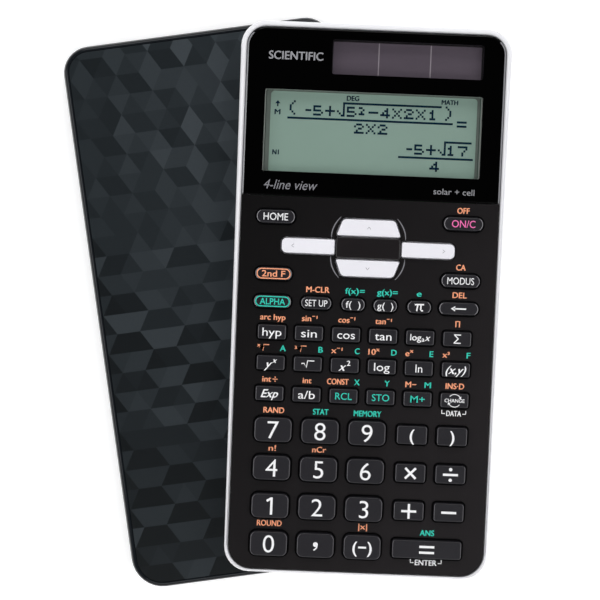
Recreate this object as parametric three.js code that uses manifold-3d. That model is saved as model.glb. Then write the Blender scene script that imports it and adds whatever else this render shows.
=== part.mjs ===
// A scientific calculator lying on the face of its own slide-on hard cover.
// Millimetres, +Z up. The calculator's display end points along +Y and its keys face up.
// Inside the calculator group z = 0 is the outside of its back, inside the cover group
// z = 0 is the rim that it lies on. Places on the face are measured from the key panel's
// top left corner, x to the right and y down, as on a drawing.

import * as THREE from 'three';
import { mergeVertices } from 'three/addons/utils/BufferGeometryUtils.js';
import Module from 'manifold-3d';

const wasm = await Module();
wasm.setup();

// ---- driving dimensions ------------------------------------------------------------

const GAP = 0.3; // left between pieces that rest on each other

const BODY = { length: 165, topWidth: 80.7, bottomWidth: 79.2, topRadius: 6.25, bottomRadius: 7 };
const PANEL = { width: 76.8, top: 80.6, bottom: -81.4, topRadius: 4.5, bottomRadius: 6.5 };
const PANEL_LEFT = -PANEL.width / 2;

// Heights above the calculator's back.
const FLOOR_TOP = 1.6;
const BOARD = { bottom: 5.2, top: 6.7, width: 64.4, start: 16, end: 159 };
const MAT = { bottom: 7.0, top: 7.6, domeTop: 8.1, domeRadius: 1.6, width: 64.4, start: 52, end: 159 };
const FLANGE = { bottom: 9.4, top: 10.3, reach: 0.5 };
const PLATE = { bottom: 10.6, top: 12.2 };
const SHELF = { bottom: 9.4, top: 11.0 }; // under the window the plate steps down
const RIM_TOP = 12.6;
const ISLAND_TOP = 12.9;
const KEY_TOP = { number: 14.0, operator: 13.8, func: 13.6, oval: 13.5, cursor: 13.5 };

const WINDOW_END = 50; // the glossy window ends here, below the panel's top edge
const DISPLAY = { left: 5.75, right: 70.5, top: 18.25, bottom: 42.6 };
const SOLAR = { left: 25.25, right: 70.25, top: 3.0, bottom: 13.25 };
const LCD_GLASS = { margin: 1.3, bottom: 7.1, top: 9.1 };
const SOLAR_GLASS = { margin: 0.65, bottom: 8.2, top: 9.1 };

const CAVITY = { width: 73.2, top: 79.2, bottom: -78.9, radius: 1.5 };
const GROOVE = { floor: 38.0, bottom: 6.2, top: 7.6 }; // the cover's rails run in it
const SCREW = { x: 34.4, rows: [4.0, 148.5], bossRadius: 1.7, holeRadius: 0.85, pilotTop: 9.0 };
const SCREW_SEAT = { headRadius: 2.2, headDepth: 1.2, clearance: 1.15, padRadius: 3.2, padTop: 2.6 };
const FOOT = { x: 28, rows: [18, 150], radius: 4.2, depth: 0.4 };
const STANDOFF = { x: 26, rows: [30, 88, 140], radius: 1.5 };
const CELL = { x: 12, y: 8.2, radius: 5.8, bottom: 1.9, top: 7.3, ringInner: 6.1, ringOuter: 7.0, ringTop: 5.0 };

const COVER = {
  length: 169.4,
  width: 83.6,
  height: 9.1,
  topRadius: 7.2,
  bottomRadius: 8.4,
  faceUnderside: 7.9,
  railTop: 0.8,
  railInner: 38.4,
  railEnd: 73,
  mouthHalfWidth: 40.65,
  endWall: 1.1,
};
const COVER_TURN = THREE.MathUtils.degToRad(9.95);
const COVER_CENTRE = { x: -40.7, y: -3.2 }; // from the calculator's centre

// ---- key layout --------------------------------------------------------------------

const FUNC = { width: 8.5, height: 4.5, radius: 0.8, left: 10.6, pitch: 11.07 };
const NUMBER = { width: 11.25, height: 7.5, radius: 2.0, left: 12.1, pitch: 14.05 };
const OPERATOR = { width: 9.15, height: 5.7, radius: 1.0, left: 53.7, pitch: 12.0 };
const NUMBER_ROW = { first: 119.75, pitch: 11.45 };
const FUNC_ROW = { first: 90.5, pitch: 9.2 };

const FUNC_ROWS = [
  ['hyp', 'sin', 'cos', 'tan', 'log_base', 'sum'],
  ['power', 'root', 'square', 'log', 'ln', 'pair'],
  ['exp', 'fraction', 'recall', 'store', 'memory_plus', 'change'],
];

const NUMBER_ROWS = [
  { numbers: ['7', '8', '9'], operators: ['open', 'close'] },
  { numbers: ['4', '5', '6'], operators: ['times', 'divide'] },
  { numbers: ['1', '2', '3'], operators: ['plus', 'minus'] },
  { numbers: ['0', 'point', 'sign'], operators: [] },
];

const OVALS = [
  { name: 'home', x: 10.4, y: 56.1, width: 11.5, height: 4.1 },
  { name: 'on_clear', x: 66.3, y: 56.1, width: 11.8, height: 4.1 },
  { name: 'second', x: 10.4, y: 73.1, width: 11.0, height: 3.9 },
  { name: 'mode', x: 66.2, y: 73.1, width: 11.6, height: 4.1 },
  { name: 'alpha', x: 10.4, y: 81.4, width: 11.2, height: 3.9 },
  { name: 'setup', x: 23.45, y: 81.4, width: 9.1, height: 3.9 },
  { name: 'f_of', x: 34.45, y: 81.4, width: 7.1, height: 3.9 },
  { name: 'g_of', x: 44.05, y: 81.4, width: 7.1, height: 3.9 },
  { name: 'pi', x: 54.2, y: 81.4, width: 7.15, height: 3.9 },
  { name: 'backspace', x: 66.0, y: 81.4, width: 11.8, height: 3.9 },
];

const EQUALS = { x: 59.6, row: 3, width: 20.9 };
const PAD = { x: 38.25, y: 64.5, islandWidth: 19.1, islandHeight: 6.2 };
const PAD_WEDGE = { inner: 19.4, outer: 15.7, height: 5.1, offset: 6.05 };
const PAD_BAR = { width: 15.9, height: 4.6, offset: 17.9 };

// ---- materials ---------------------------------------------------------------------

const plastic = (color, roughness, metalness = 0) =>
  new THREE.MeshStandardMaterial({ color, roughness, metalness });

const MATERIALS = {
  whiteShell: plastic(0xededf0, 0.35),
  blackPanel: plastic(0x222224, 0.55),
  blackKey: plastic(0x2b2b2f, 0.45),
  whiteKey: plastic(0xeaeaee, 0.35),
  window: plastic(0x070708, 0.08),
  display: plastic(0x7f9387, 0.3),
  solar: plastic(0x4c454d, 0.25),
  board: plastic(0x1f5a34, 0.5),
  mat: plastic(0x3b3c40, 0.8),
  steel: plastic(0xb9bbbd, 0.3, 0.9),
  cover: plastic(0x272c31, 0.35),
};

// ---- outlines ----------------------------------------------------------------------

// The centre of a place on the face, in the calculator's own axes.
const place = (x, y) => [PANEL_LEFT + x, PANEL.top - y];

// A polygon with its corners rounded. Corners run counter-clockwise as {x, y, radius}.
function roundedPolygon(corners, steps) {
  const points = [];
  corners.forEach((corner, i) => {
    const before = corners[(i + corners.length - 1) % corners.length];
    const after = corners[(i + 1) % corners.length];
    const toBefore = new THREE.Vector2(before.x - corner.x, before.y - corner.y).normalize();
    const toAfter = new THREE.Vector2(after.x - corner.x, after.y - corner.y).normalize();
    const half = Math.acos(toBefore.dot(toAfter)) / 2;
    const bisector = toBefore.clone().add(toAfter).normalize();
    const centre = bisector.multiplyScalar(corner.radius / Math.sin(half));
    centre.add(corner);
    const from = Math.atan2(-toBefore.x, toBefore.y);
    const turn = Math.PI - 2 * half;
    for (let step = 0; step <= steps; step += 1) {
      const angle = from + Math.PI + (turn * step) / steps;
      points.push(new THREE.Vector2(
        centre.x + corner.radius * Math.cos(angle),
        centre.y + corner.radius * Math.sin(angle),
      ));
    }
  });
  return points;
}

function roundedBox(width, height, radius, steps) {
  const x = width / 2;
  const y = height / 2;
  return roundedPolygon([
    { x: -x, y: -y, radius },
    { x, y: -y, radius },
    { x, y, radius },
    { x: -x, y, radius },
  ], steps);
}

// A four-sided plate outline, symmetrical about x = 0, narrower or wider at the bottom.
function taperedOutline({ topWidth, bottomWidth, top, bottom, topRadius, bottomRadius }, inset, steps) {
  const xTop = topWidth / 2 - inset;
  const xBottom = bottomWidth / 2 - inset;
  const upper = Math.max(topRadius - inset, 0.6);
  const lower = Math.max(bottomRadius - inset, 0.6);
  return roundedPolygon([
    { x: -xBottom, y: bottom + inset, radius: lower },
    { x: xBottom, y: bottom + inset, radius: lower },
    { x: xTop, y: top - inset, radius: upper },
    { x: -xTop, y: top - inset, radius: upper },
  ], steps);
}

const bodyOutline = (inset) => taperedOutline(
  { ...BODY, top: BODY.length / 2, bottom: -BODY.length / 2 }, inset, 6);

const panelOutline = (inset) => taperedOutline(
  { ...PANEL, topWidth: PANEL.width, bottomWidth: PANEL.width }, inset, 6);

const coverOutline = (inset) => taperedOutline({
  topWidth: COVER.width,
  bottomWidth: COVER.width,
  top: COVER.length / 2,
  bottom: -COVER.length / 2,
  topRadius: COVER.topRadius,
  bottomRadius: COVER.bottomRadius,
}, inset, 6);

// ---- solids ------------------------------------------------------------------------

// Joins outlines of equal point counts, given from the bottom up, into a closed surface.
function loft(layers) {
  const count = layers[0].points.length;
  const positions = layers.flatMap(({ points, z }) => points.flatMap((p) => [p.x, p.y, z]));
  const index = [];
  for (let layer = 0; layer < layers.length - 1; layer += 1) {
    for (let i = 0; i < count; i += 1) {
      const a = layer * count + i;
      const b = layer * count + ((i + 1) % count);
      index.push(a, b, b + count);
      index.push(a, b + count, a + count);
    }
  }
  const last = layers[layers.length - 1];
  const lastStart = positions.length / 3 - count;
  for (const [a, b, c] of THREE.ShapeUtils.triangulateShape(layers[0].points, [])) {
    index.push(c, b, a);
  }
  for (const [a, b, c] of THREE.ShapeUtils.triangulateShape(last.points, [])) {
    index.push(lastStart + a, lastStart + b, lastStart + c);
  }
  const geometry = new THREE.BufferGeometry();
  geometry.setAttribute('position', new THREE.Float32BufferAttribute(positions, 3));
  geometry.setIndex(index);
  return geometry;
}

const prism = (points, bottom, top) => loft([{ points, z: bottom }, { points, z: top }]);

function block(left, right, near, far, bottom, top) {
  const geometry = new THREE.BoxGeometry(right - left, far - near, top - bottom);
  return geometry.translate((left + right) / 2, (near + far) / 2, (bottom + top) / 2);
}

// A rectangle on the face given by its distances from the panel's corner.
function faceBlock({ left, right, top, bottom }, margin, low, high) {
  const [x0, y0] = place(left - margin, bottom + margin);
  const [x1, y1] = place(right + margin, top - margin);
  return block(x0, x1, y0, y1, low, high);
}

function drum([x, y], radius, bottom, top, sides = 16) {
  const geometry = new THREE.CylinderGeometry(radius, radius, top - bottom, sides);
  return geometry.rotateX(Math.PI / 2).translate(x, y, (bottom + top) / 2);
}

// The same four or six places on both sides of the centre line.
const mirroredPlaces = ({ x, rows }) => rows.flatMap((row) => [-1, 1].map(
  (side) => [side * x, PANEL.top - row]));

function toSolid(geometry) {
  const bare = new THREE.BufferGeometry();
  bare.setAttribute('position', geometry.getAttribute('position'));
  bare.setIndex(geometry.getIndex());
  const merged = mergeVertices(bare, 1e-4);
  return new wasm.Manifold(new wasm.Mesh({
    numProp: 3,
    vertProperties: merged.getAttribute('position').array,
    triVerts: new Uint32Array(merged.getIndex().array),
  }));
}

function toGeometry(solid) {
  const { vertProperties, triVerts } = solid.getMesh();
  const geometry = new THREE.BufferGeometry();
  geometry.setAttribute('position', new THREE.BufferAttribute(vertProperties, 3));
  geometry.setIndex(new THREE.BufferAttribute(triVerts, 1));
  const flat = geometry.toNonIndexed();
  flat.computeVertexNormals();
  return flat;
}

const joinAll = (solid, pieces) => pieces.reduce((sum, piece) => sum.add(toSolid(piece)), solid);
const cutAll = (solid, pieces) => pieces.reduce((rest, piece) => rest.subtract(toSolid(piece)), solid);

// ---- keys --------------------------------------------------------------------------

// A cap with sloping sides and an eased top edge, on the flange that keeps it captive.
// outline(outset) gives the cap's outline, which the flange and the hole widen.
function keyGeometry(outline, top) {
  const height = top - FLANGE.bottom;
  const flangeTop = FLANGE.top - FLANGE.bottom;
  return loft([
    { points: outline(FLANGE.reach), z: 0 },
    { points: outline(FLANGE.reach), z: flangeTop },
    { points: outline(0), z: flangeTop + 0.05 },
    { points: outline(-0.12), z: height - 0.35 },
    { points: outline(-0.45), z: height },
  ]);
}

const boxOutline = (width, height, radius, steps) => (outset) => roundedBox(
  width + 2 * outset, height + 2 * outset, Math.max(radius + outset, 0.3), steps);

const ovalOutline = (width, height) => boxOutline(width, height, height / 2 - 0.05, 3);

// The up and down cursor keys narrow away from the pad's centre.
const wedgeOutline = (outset) => roundedPolygon([
  { x: -PAD_WEDGE.inner / 2 - outset, y: -PAD_WEDGE.height / 2 - outset, radius: 0.5 + outset },
  { x: PAD_WEDGE.inner / 2 + outset, y: -PAD_WEDGE.height / 2 - outset, radius: 0.5 + outset },
  { x: PAD_WEDGE.outer / 2 + outset, y: PAD_WEDGE.height / 2 + outset, radius: 1.6 + outset },
  { x: -PAD_WEDGE.outer / 2 - outset, y: PAD_WEDGE.height / 2 + outset, radius: 1.6 + outset },
], 3);

// The left and right cursor keys have their rounder end outwards, here towards -x.
const barOutline = (outset) => roundedPolygon([
  { x: -PAD_BAR.width / 2 - outset, y: -PAD_BAR.height / 2 - outset, radius: 1.5 + outset },
  { x: PAD_BAR.width / 2 + outset, y: -PAD_BAR.height / 2 - outset, radius: 0.5 + outset },
  { x: PAD_BAR.width / 2 + outset, y: PAD_BAR.height / 2 + outset, radius: 0.5 + outset },
  { x: -PAD_BAR.width / 2 - outset, y: PAD_BAR.height / 2 + outset, radius: 1.5 + outset },
], 3);

function listKeys() {
  const keys = [];
  const add = (name, x, y, outline, top, turn = 0, material = 'blackKey') => {
    keys.push({ name: `key_${name}`, at: place(x, y), outline, top, turn, material });
  };

  for (const { name, x, y, width, height } of OVALS) {
    add(name, x, y, ovalOutline(width, height), KEY_TOP.oval);
  }
  add('cursor_up', PAD.x, PAD.y - PAD_WEDGE.offset, wedgeOutline, KEY_TOP.cursor, 0, 'whiteKey');
  add('cursor_down', PAD.x, PAD.y + PAD_WEDGE.offset, wedgeOutline, KEY_TOP.cursor, Math.PI, 'whiteKey');
  add('cursor_left', PAD.x - PAD_BAR.offset, PAD.y, barOutline, KEY_TOP.cursor, 0, 'whiteKey');
  add('cursor_right', PAD.x + PAD_BAR.offset, PAD.y, barOutline, KEY_TOP.cursor, Math.PI, 'whiteKey');

  FUNC_ROWS.forEach((row, j) => row.forEach((name, i) => {
    const outline = boxOutline(FUNC.width, FUNC.height, FUNC.radius, 2);
    add(name, FUNC.left + i * FUNC.pitch, FUNC_ROW.first + j * FUNC_ROW.pitch, outline, KEY_TOP.func);
  }));

  NUMBER_ROWS.forEach(({ numbers, operators }, j) => {
    const y = NUMBER_ROW.first + j * NUMBER_ROW.pitch;
    numbers.forEach((name, i) => {
      const outline = boxOutline(NUMBER.width, NUMBER.height, NUMBER.radius, 3);
      add(name, NUMBER.left + i * NUMBER.pitch, y, outline, KEY_TOP.number);
    });
    operators.forEach((name, i) => {
      const outline = boxOutline(OPERATOR.width, OPERATOR.height, OPERATOR.radius, 2);
      add(name, OPERATOR.left + i * OPERATOR.pitch, y, outline, KEY_TOP.operator);
    });
  });
  const equalsRow = NUMBER_ROW.first + EQUALS.row * NUMBER_ROW.pitch;
  const equalsOutline = boxOutline(EQUALS.width, OPERATOR.height, OPERATOR.radius, 2);
  add('equals', EQUALS.x, equalsRow, equalsOutline, KEY_TOP.operator);
  return keys;
}

const KEYS = listKeys();

// ---- the calculator's fixed pieces -------------------------------------------------

// The white tub: its rim frames the panel, and its sides carry the cover's grooves.
function rearCase() {
  const shell = toSolid(loft([
    { points: bodyOutline(2.6), z: 0 },
    { points: bodyOutline(1.1), z: 1.4 },
    { points: bodyOutline(0.7), z: 5.5 },
    { points: bodyOutline(0), z: 8.6 },
    { points: bodyOutline(0), z: 11.0 },
    { points: bodyOutline(0.2), z: 12.1 },
    { points: bodyOutline(0.65), z: RIM_TOP },
  ]));
  const cavity = taperedOutline({
    ...CAVITY,
    topWidth: CAVITY.width,
    bottomWidth: CAVITY.width,
    topRadius: CAVITY.radius,
    bottomRadius: CAVITY.radius,
  }, 0, 3);
  const ends = BODY.length / 2 + 1;
  const side = BODY.topWidth / 2 + 1;
  const hollowed = cutAll(shell, [
    prism(cavity, FLOOR_TOP, FLANGE.top + 1),
    prism(panelOutline(-GAP), FLANGE.top, RIM_TOP + 1),
    block(GROOVE.floor, side, -ends, ends, GROOVE.bottom, GROOVE.top),
    block(-side, -GROOVE.floor, -ends, ends, GROOVE.bottom, GROOVE.top),
  ]);
  const screws = mirroredPlaces(SCREW);
  const furnished = joinAll(hollowed, [
    ...screws.map((at) => drum(at, SCREW_SEAT.padRadius, 0.5, SCREW_SEAT.padTop, 14)),
    ...mirroredPlaces(STANDOFF).map((at) => drum(at, STANDOFF.radius, 1, BOARD.bottom - GAP, 8)),
    drum(place(CELL.x, CELL.y), CELL.ringOuter, 1, CELL.ringTop, 20),
  ]);
  return toGeometry(cutAll(furnished, [
    ...screws.map((at) => drum(at, SCREW_SEAT.headRadius, -1, SCREW_SEAT.headDepth, 14)),
    ...screws.map((at) => drum(at, SCREW_SEAT.clearance, 0, SCREW_SEAT.padTop + 1, 10)),
    ...mirroredPlaces(FOOT).map((at) => drum(at, FOOT.radius, -1, FOOT.depth, 20)),
    drum(place(CELL.x, CELL.y), CELL.ringInner, FLOOR_TOP, CELL.ringTop + 1, 20),
  ]));
}

// The black panel: a plate with a hole for every key, stepped down under the window.
function frontCase() {
  const [, windowEdge] = place(0, WINDOW_END);
  const side = PANEL.width / 2 + 1;
  const frame = { left: 2.4, right: 74.4, top: 1.9, bottom: WINDOW_END - 0.6 };
  const [padX, padY] = place(PAD.x, PAD.y);
  const island = roundedBox(PAD.islandWidth, PAD.islandHeight, 0.4, 2);
  const plate = cutAll(toSolid(prism(panelOutline(0), PLATE.bottom, PLATE.top)), [
    block(-side, side, windowEdge - GAP / 2, PANEL.top + 1, SHELF.top, PLATE.top + 1),
  ]);
  const furnished = joinAll(plate, [
    faceBlock(frame, 0, SHELF.bottom, PLATE.bottom + 0.1),
    prism(island, PLATE.top - 0.5, ISLAND_TOP).translate(padX, padY, 0),
    ...mirroredPlaces(SCREW).map((at) => drum(at, SCREW.bossRadius, SCREW_SEAT.padTop + GAP, 11, 12)),
  ]);
  const holes = KEYS.map(({ at, outline, turn }) => {
    const hole = prism(outline(GAP), SHELF.bottom, RIM_TOP + 1);
    return hole.rotateZ(turn).translate(at[0], at[1], 0);
  });
  return toGeometry(cutAll(furnished, [
    ...holes,
    faceBlock(DISPLAY, 0, SHELF.bottom - 1, PLATE.top),
    faceBlock(SOLAR, 0, SHELF.bottom - 1, PLATE.top),
    ...mirroredPlaces(SCREW).map((at) => drum(at, SCREW.holeRadius, 2, SCREW.pilotTop, 8)),
  ]));
}

// The clear window that lies flush with the panel over the display and the solar cell.
function displayWindow() {
  const [, edge] = place(0, WINDOW_END);
  const sheet = toSolid(prism(panelOutline(0), SHELF.top + GAP, PLATE.top));
  const below = block(-PANEL.width, PANEL.width, PANEL.bottom - 1, edge + GAP / 2, 0, RIM_TOP + 1);
  return toGeometry(cutAll(sheet, [below]));
}

function mainBoard() {
  const half = BOARD.width / 2;
  const [, far] = place(0, BOARD.start);
  const [, near] = place(0, BOARD.end);
  return block(-half, half, near, far, BOARD.bottom, BOARD.top);
}

// The rubber sheet with a dome under the middle of each key.
function keyMat() {
  const half = MAT.width / 2;
  const [, far] = place(0, MAT.start);
  const [, near] = place(0, MAT.end);
  const sheet = toSolid(block(-half, half, near, far, MAT.bottom, MAT.top));
  const domes = KEYS.map(({ at }) => drum(at, MAT.domeRadius, MAT.top - 0.2, MAT.domeTop, 8));
  return toGeometry(joinAll(sheet, domes));
}

const FIXED_PIECES = [
  ['rear_case', rearCase, 'whiteShell'],
  ['front_case', frontCase, 'blackPanel'],
  ['display_window', displayWindow, 'window'],
  ['lcd_panel', () => faceBlock(DISPLAY, LCD_GLASS.margin, LCD_GLASS.bottom, LCD_GLASS.top), 'display'],
  ['solar_cell', () => faceBlock(SOLAR, SOLAR_GLASS.margin, SOLAR_GLASS.bottom, SOLAR_GLASS.top), 'solar'],
  ['main_board', mainBoard, 'board'],
  ['key_mat', keyMat, 'mat'],
  ['button_cell', () => drum(place(CELL.x, CELL.y), CELL.radius, CELL.bottom, CELL.top, 20), 'steel'],
];

// ---- the slide-on cover ------------------------------------------------------------

// A shallow lid lying open side down: one end wall, one open mouth, two inward rails.
function slideCover() {
  const shell = toSolid(loft([
    { points: coverOutline(0), z: 0 },
    { points: coverOutline(0.05), z: 3 },
    { points: coverOutline(0.3), z: 5.4 },
    { points: coverOutline(0.75), z: 7.4 },
    { points: coverOutline(1.3), z: 8.5 },
    { points: coverOutline(2.1), z: COVER.height },
  ]));
  const half = COVER.mouthHalfWidth;
  const wallStart = COVER.length / 2 - COVER.endWall;
  const mouth = -COVER.length / 2 - 1;
  const room = (inset) => roundedPolygon([
    { x: -half + inset, y: mouth, radius: 0.2 },
    { x: half - inset, y: mouth, radius: 0.2 },
    { x: half - inset, y: wallStart - inset, radius: COVER.topRadius - 1 },
    { x: -half + inset, y: wallStart - inset, radius: COVER.topRadius - 1 },
  ], 5);
  const hollow = loft([
    { points: room(0), z: -1 },
    { points: room(0), z: 4.6 },
    { points: room(0.4), z: 6.4 },
    { points: room(1.3), z: COVER.faceUnderside },
  ]);
  const railStart = -COVER.length / 2 + COVER.bottomRadius - 2.5;
  const overlap = 0.5;
  return toGeometry(joinAll(cutAll(shell, [hollow]), [
    block(COVER.railInner, half + overlap, railStart, COVER.railEnd, 0, COVER.railTop),
    block(-half - overlap, -COVER.railInner, railStart, COVER.railEnd, 0, COVER.railTop),
  ]));
}

// ---- assembly ----------------------------------------------------------------------

function makeMesh(name, geometry, material) {
  const mesh = new THREE.Mesh(geometry, MATERIALS[material]);
  mesh.name = name;
  return mesh;
}

function makeCalculator() {
  const calculator = new THREE.Group();
  for (const [name, shape, material] of FIXED_PIECES) {
    calculator.add(makeMesh(name, shape(), material));
  }
  for (const { name, at, outline, top, turn, material } of KEYS) {
    const key = makeMesh(name, keyGeometry(outline, top), material);
    key.position.set(at[0], at[1], FLANGE.bottom);
    key.rotation.z = turn;
    calculator.add(key);
  }
  calculator.position.z = COVER.height + GAP;
  return calculator;
}

function makeCover() {
  const group = new THREE.Group();
  group.add(makeMesh('slide_cover', slideCover(), 'cover'));
  group.position.set(COVER_CENTRE.x, COVER_CENTRE.y, 0);
  group.rotation.z = COVER_TURN;
  return group;
}

const calculatorSet = new THREE.Group();
calculatorSet.add(makeCalculator(), makeCover());

// The set stands on z = 0 with the middle of its footprint at the origin.
const extent = new THREE.Box3().setFromObject(calculatorSet, true);
const middle = extent.getCenter(new THREE.Vector3());
for (const group of calculatorSet.children) {
  group.position.x -= middle.x;
  group.position.y -= middle.y;
}

export default calculatorSet;
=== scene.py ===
"""The looks of a scientific calculator that lies on its own slide-on cover.

Everything is built in millimetres and turned into metres when a mesh is made. Places on the
face are measured from the key panel's top left corner, x to the right and y down. Prints
measure theirs from the same corner or from their key's centre, but with y up. Heights marked
"above the back" start at the outside of the calculator's back.
"""

import math
import random

import bmesh
import bpy
from mathutils import Matrix, Vector
from mathutils.geometry import tessellate_polygon


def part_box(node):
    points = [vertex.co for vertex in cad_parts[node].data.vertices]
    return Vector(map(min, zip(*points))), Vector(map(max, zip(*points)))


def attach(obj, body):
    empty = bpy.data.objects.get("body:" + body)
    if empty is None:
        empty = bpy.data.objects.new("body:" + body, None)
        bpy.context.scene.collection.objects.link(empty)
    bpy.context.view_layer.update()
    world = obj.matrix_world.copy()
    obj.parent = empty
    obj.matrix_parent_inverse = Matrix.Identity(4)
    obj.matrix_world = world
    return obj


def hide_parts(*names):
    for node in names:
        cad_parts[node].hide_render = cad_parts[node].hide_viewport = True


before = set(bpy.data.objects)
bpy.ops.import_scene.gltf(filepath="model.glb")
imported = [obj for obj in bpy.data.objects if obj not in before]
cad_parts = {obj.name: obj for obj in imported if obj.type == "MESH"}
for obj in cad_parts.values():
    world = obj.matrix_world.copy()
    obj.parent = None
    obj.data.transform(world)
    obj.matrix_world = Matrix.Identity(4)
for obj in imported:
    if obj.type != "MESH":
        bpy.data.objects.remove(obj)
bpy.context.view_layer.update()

MM = 0.001


# ---- places taken from the frame ----

def box_mm(node):
    """The lowest and highest corners of a frame node, in millimetres."""
    low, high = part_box(node)
    return low / MM, high / MM


SHELL_LOW, SHELL_HIGH = box_mm("rear_case")
PANEL_LOW, PANEL_HIGH = box_mm("front_case")
WINDOW_LOW, WINDOW_HIGH = box_mm("display_window")
LCD_LOW, LCD_HIGH = box_mm("lcd_panel")
SOLAR_LOW, SOLAR_HIGH = box_mm("solar_cell")
COVER_TOP = box_mm("slide_cover")[1].z

BACK = SHELL_LOW.z
FACE = WINDOW_HIGH.z
PANEL_LEFT = PANEL_LOW.x
PANEL_TOP = PANEL_HIGH.y
PANEL_WIDTH = PANEL_HIGH.x - PANEL_LOW.x
PANEL_LENGTH = PANEL_HIGH.y - PANEL_LOW.y
CENTRE = Vector(((SHELL_LOW.x + SHELL_HIGH.x) / 2, (SHELL_LOW.y + SHELL_HIGH.y) / 2))
WINDOW_END = PANEL_TOP - WINDOW_LOW.y  # how far down the face the glossy window reaches
WINDOW_BOTTOM = WINDOW_LOW.z
LCD_TOP = LCD_HIGH.z


def on_face(x, y):
    return Vector((PANEL_LEFT + x, PANEL_TOP - y))


# ---- outlines ----

CORNER_STEPS = 8
RISE_STEPS = 4


def direction(angle):
    return Vector((math.cos(angle), math.sin(angle)))


def rounded(corners):
    """A closed outline through corners (x, y, radius), anticlockwise, each corner an arc."""
    outline = []
    for index, (x, y, radius) in enumerate(corners):
        corner = Vector((x, y))
        back = (Vector(corners[index - 1][:2]) - corner).normalized()
        ahead = (Vector(corners[(index + 1) % len(corners)][:2]) - corner).normalized()
        half = back.angle(ahead) / 2
        centre = corner + (back + ahead).normalized() * (radius / math.sin(half))
        start = math.atan2(-back.x, back.y) + math.pi
        for step in range(CORNER_STEPS + 1):
            angle = start + (math.pi - 2 * half) * step / CORNER_STEPS
            outline.append(centre + radius * direction(angle))
    return outline


def box_outline(left, right, bottom, top, radius, top_radius=None):
    """A rounded rectangle, with other radii at its two top corners where they are given."""
    upper = top_radius or radius
    return rounded([
        (left, bottom, radius),
        (right, bottom, radius),
        (right, top, upper),
        (left, top, upper),
    ])


def centred_box(width, height, radius):
    return box_outline(-width / 2, width / 2, -height / 2, height / 2, radius)


def face_box(left, right, top, bottom, radius, top_radius=None):
    """A rounded rectangle given by its distances from the panel's corner."""
    low = on_face(left, bottom)
    high = on_face(right, top)
    return box_outline(low.x, high.x, low.y, high.y, radius, top_radius)


def circle(centre, radius, sides=32):
    middle = Vector(centre[:2])
    return [middle + radius * direction(2 * math.pi * side / sides) for side in range(sides)]


def widened(outline, distance):
    """The outline moved outwards by a distance, or inwards by a negative one."""
    result = []
    for index, point in enumerate(outline):
        before = point - outline[index - 1]
        after = outline[(index + 1) % len(outline)] - point
        normal_before = Vector((before.y, -before.x)).normalized()
        normal_after = Vector((after.y, -after.x)).normalized()
        normal = (normal_before + normal_after).normalized()
        result.append(point + normal * (distance / max(normal.dot(normal_after), 0.5)))
    return result


def placed(outline, centre, turn=0.0):
    spin = Matrix.Rotation(turn, 2)
    return [spin @ point + Vector(centre[:2]) for point in outline]


# ---- meshes ----

WELD_DISTANCE = 3e-8  # in metres


class Shape:
    """Points and faces in millimetres that become one piece."""

    def __init__(self):
        self.points = []
        self.faces = []
        self.slots = []

    def ring(self, outline, z):
        start = len(self.points)
        self.points.extend((point[0], point[1], z) for point in outline)
        return list(range(start, len(self.points)))

    def face(self, indices, slot=0):
        self.faces.append(list(indices))
        self.slots.append(slot)

    def wall(self, lower, upper, slot=0):
        for index in range(len(lower)):
            ahead = (index + 1) % len(lower)
            self.face((lower[index], lower[ahead], upper[ahead], upper[index]), slot)

    def sheet(self, rings):
        """A flat face inside the first ring, with the other rings as its holes."""
        loops = [[Vector(self.points[index]) for index in ring] for ring in rings]
        flat = [index for ring in rings for index in ring]
        for triangle in tessellate_polygon(loops):
            self.face([flat[corner] for corner in triangle])

    def plate(self, walls):
        """Flat faces at both ends of walls. The first wall is outside, the others are holes."""
        for end in (0, -1):
            self.sheet([rings[end] for rings in walls])

    def skin(self, layers, slot=0):
        """Walls through layers of (outline, z). Returns the rings."""
        rings = [self.ring(outline, z) for outline, z in layers]
        for lower, upper in zip(rings, rings[1:]):
            self.wall(lower, upper, slot)
        return rings

    def solid(self, layers, slot=0):
        """A closed body through layers of (outline, z)."""
        rings = self.skin(layers, slot)
        self.face(rings[0], slot)
        self.face(rings[-1], slot)

    def hoop(self, layers):
        """A closed frame: layers run once round its cross-section."""
        rings = self.skin(layers)
        self.wall(rings[-1], rings[0])

    def block(self, left, right, bottom, top, low, high, slot=0):
        outline = [(left, bottom), (right, bottom), (right, top), (left, top)]
        self.solid([(outline, low), (outline, high)], slot)


def link(data, name):
    """Puts a mesh, some lettering, a light or a camera in the scene as an object."""
    made = bpy.data.objects.new(name, data)
    bpy.context.scene.collection.objects.link(made)
    return made


def mesh_of(shape, name):
    """A shape's points and faces as a mesh in metres."""
    mesh = bpy.data.meshes.new(name)
    mesh.from_pydata([Vector(point) * MM for point in shape.points], [], shape.faces)
    mesh.polygons.foreach_set("material_index", shape.slots)
    return mesh


def finish_mesh(mesh, materials, sharp):
    """Welds a mesh, turns its faces outwards and gives it its materials and sharp edges."""
    weld = bmesh.new()
    weld.from_mesh(mesh)
    bmesh.ops.remove_doubles(weld, verts=weld.verts, dist=WELD_DISTANCE)
    bmesh.ops.recalc_face_normals(weld, faces=weld.faces)
    weld.to_mesh(mesh)
    weld.free()
    for material in materials:
        mesh.materials.append(material)
    mesh.shade_smooth()
    mesh.set_sharp_from_angle(angle=math.radians(sharp))


def make_piece(shape, name, materials, sharp=35):
    mesh = mesh_of(shape, name)
    finish_mesh(mesh, materials, sharp)
    return link(mesh, name)


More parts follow.
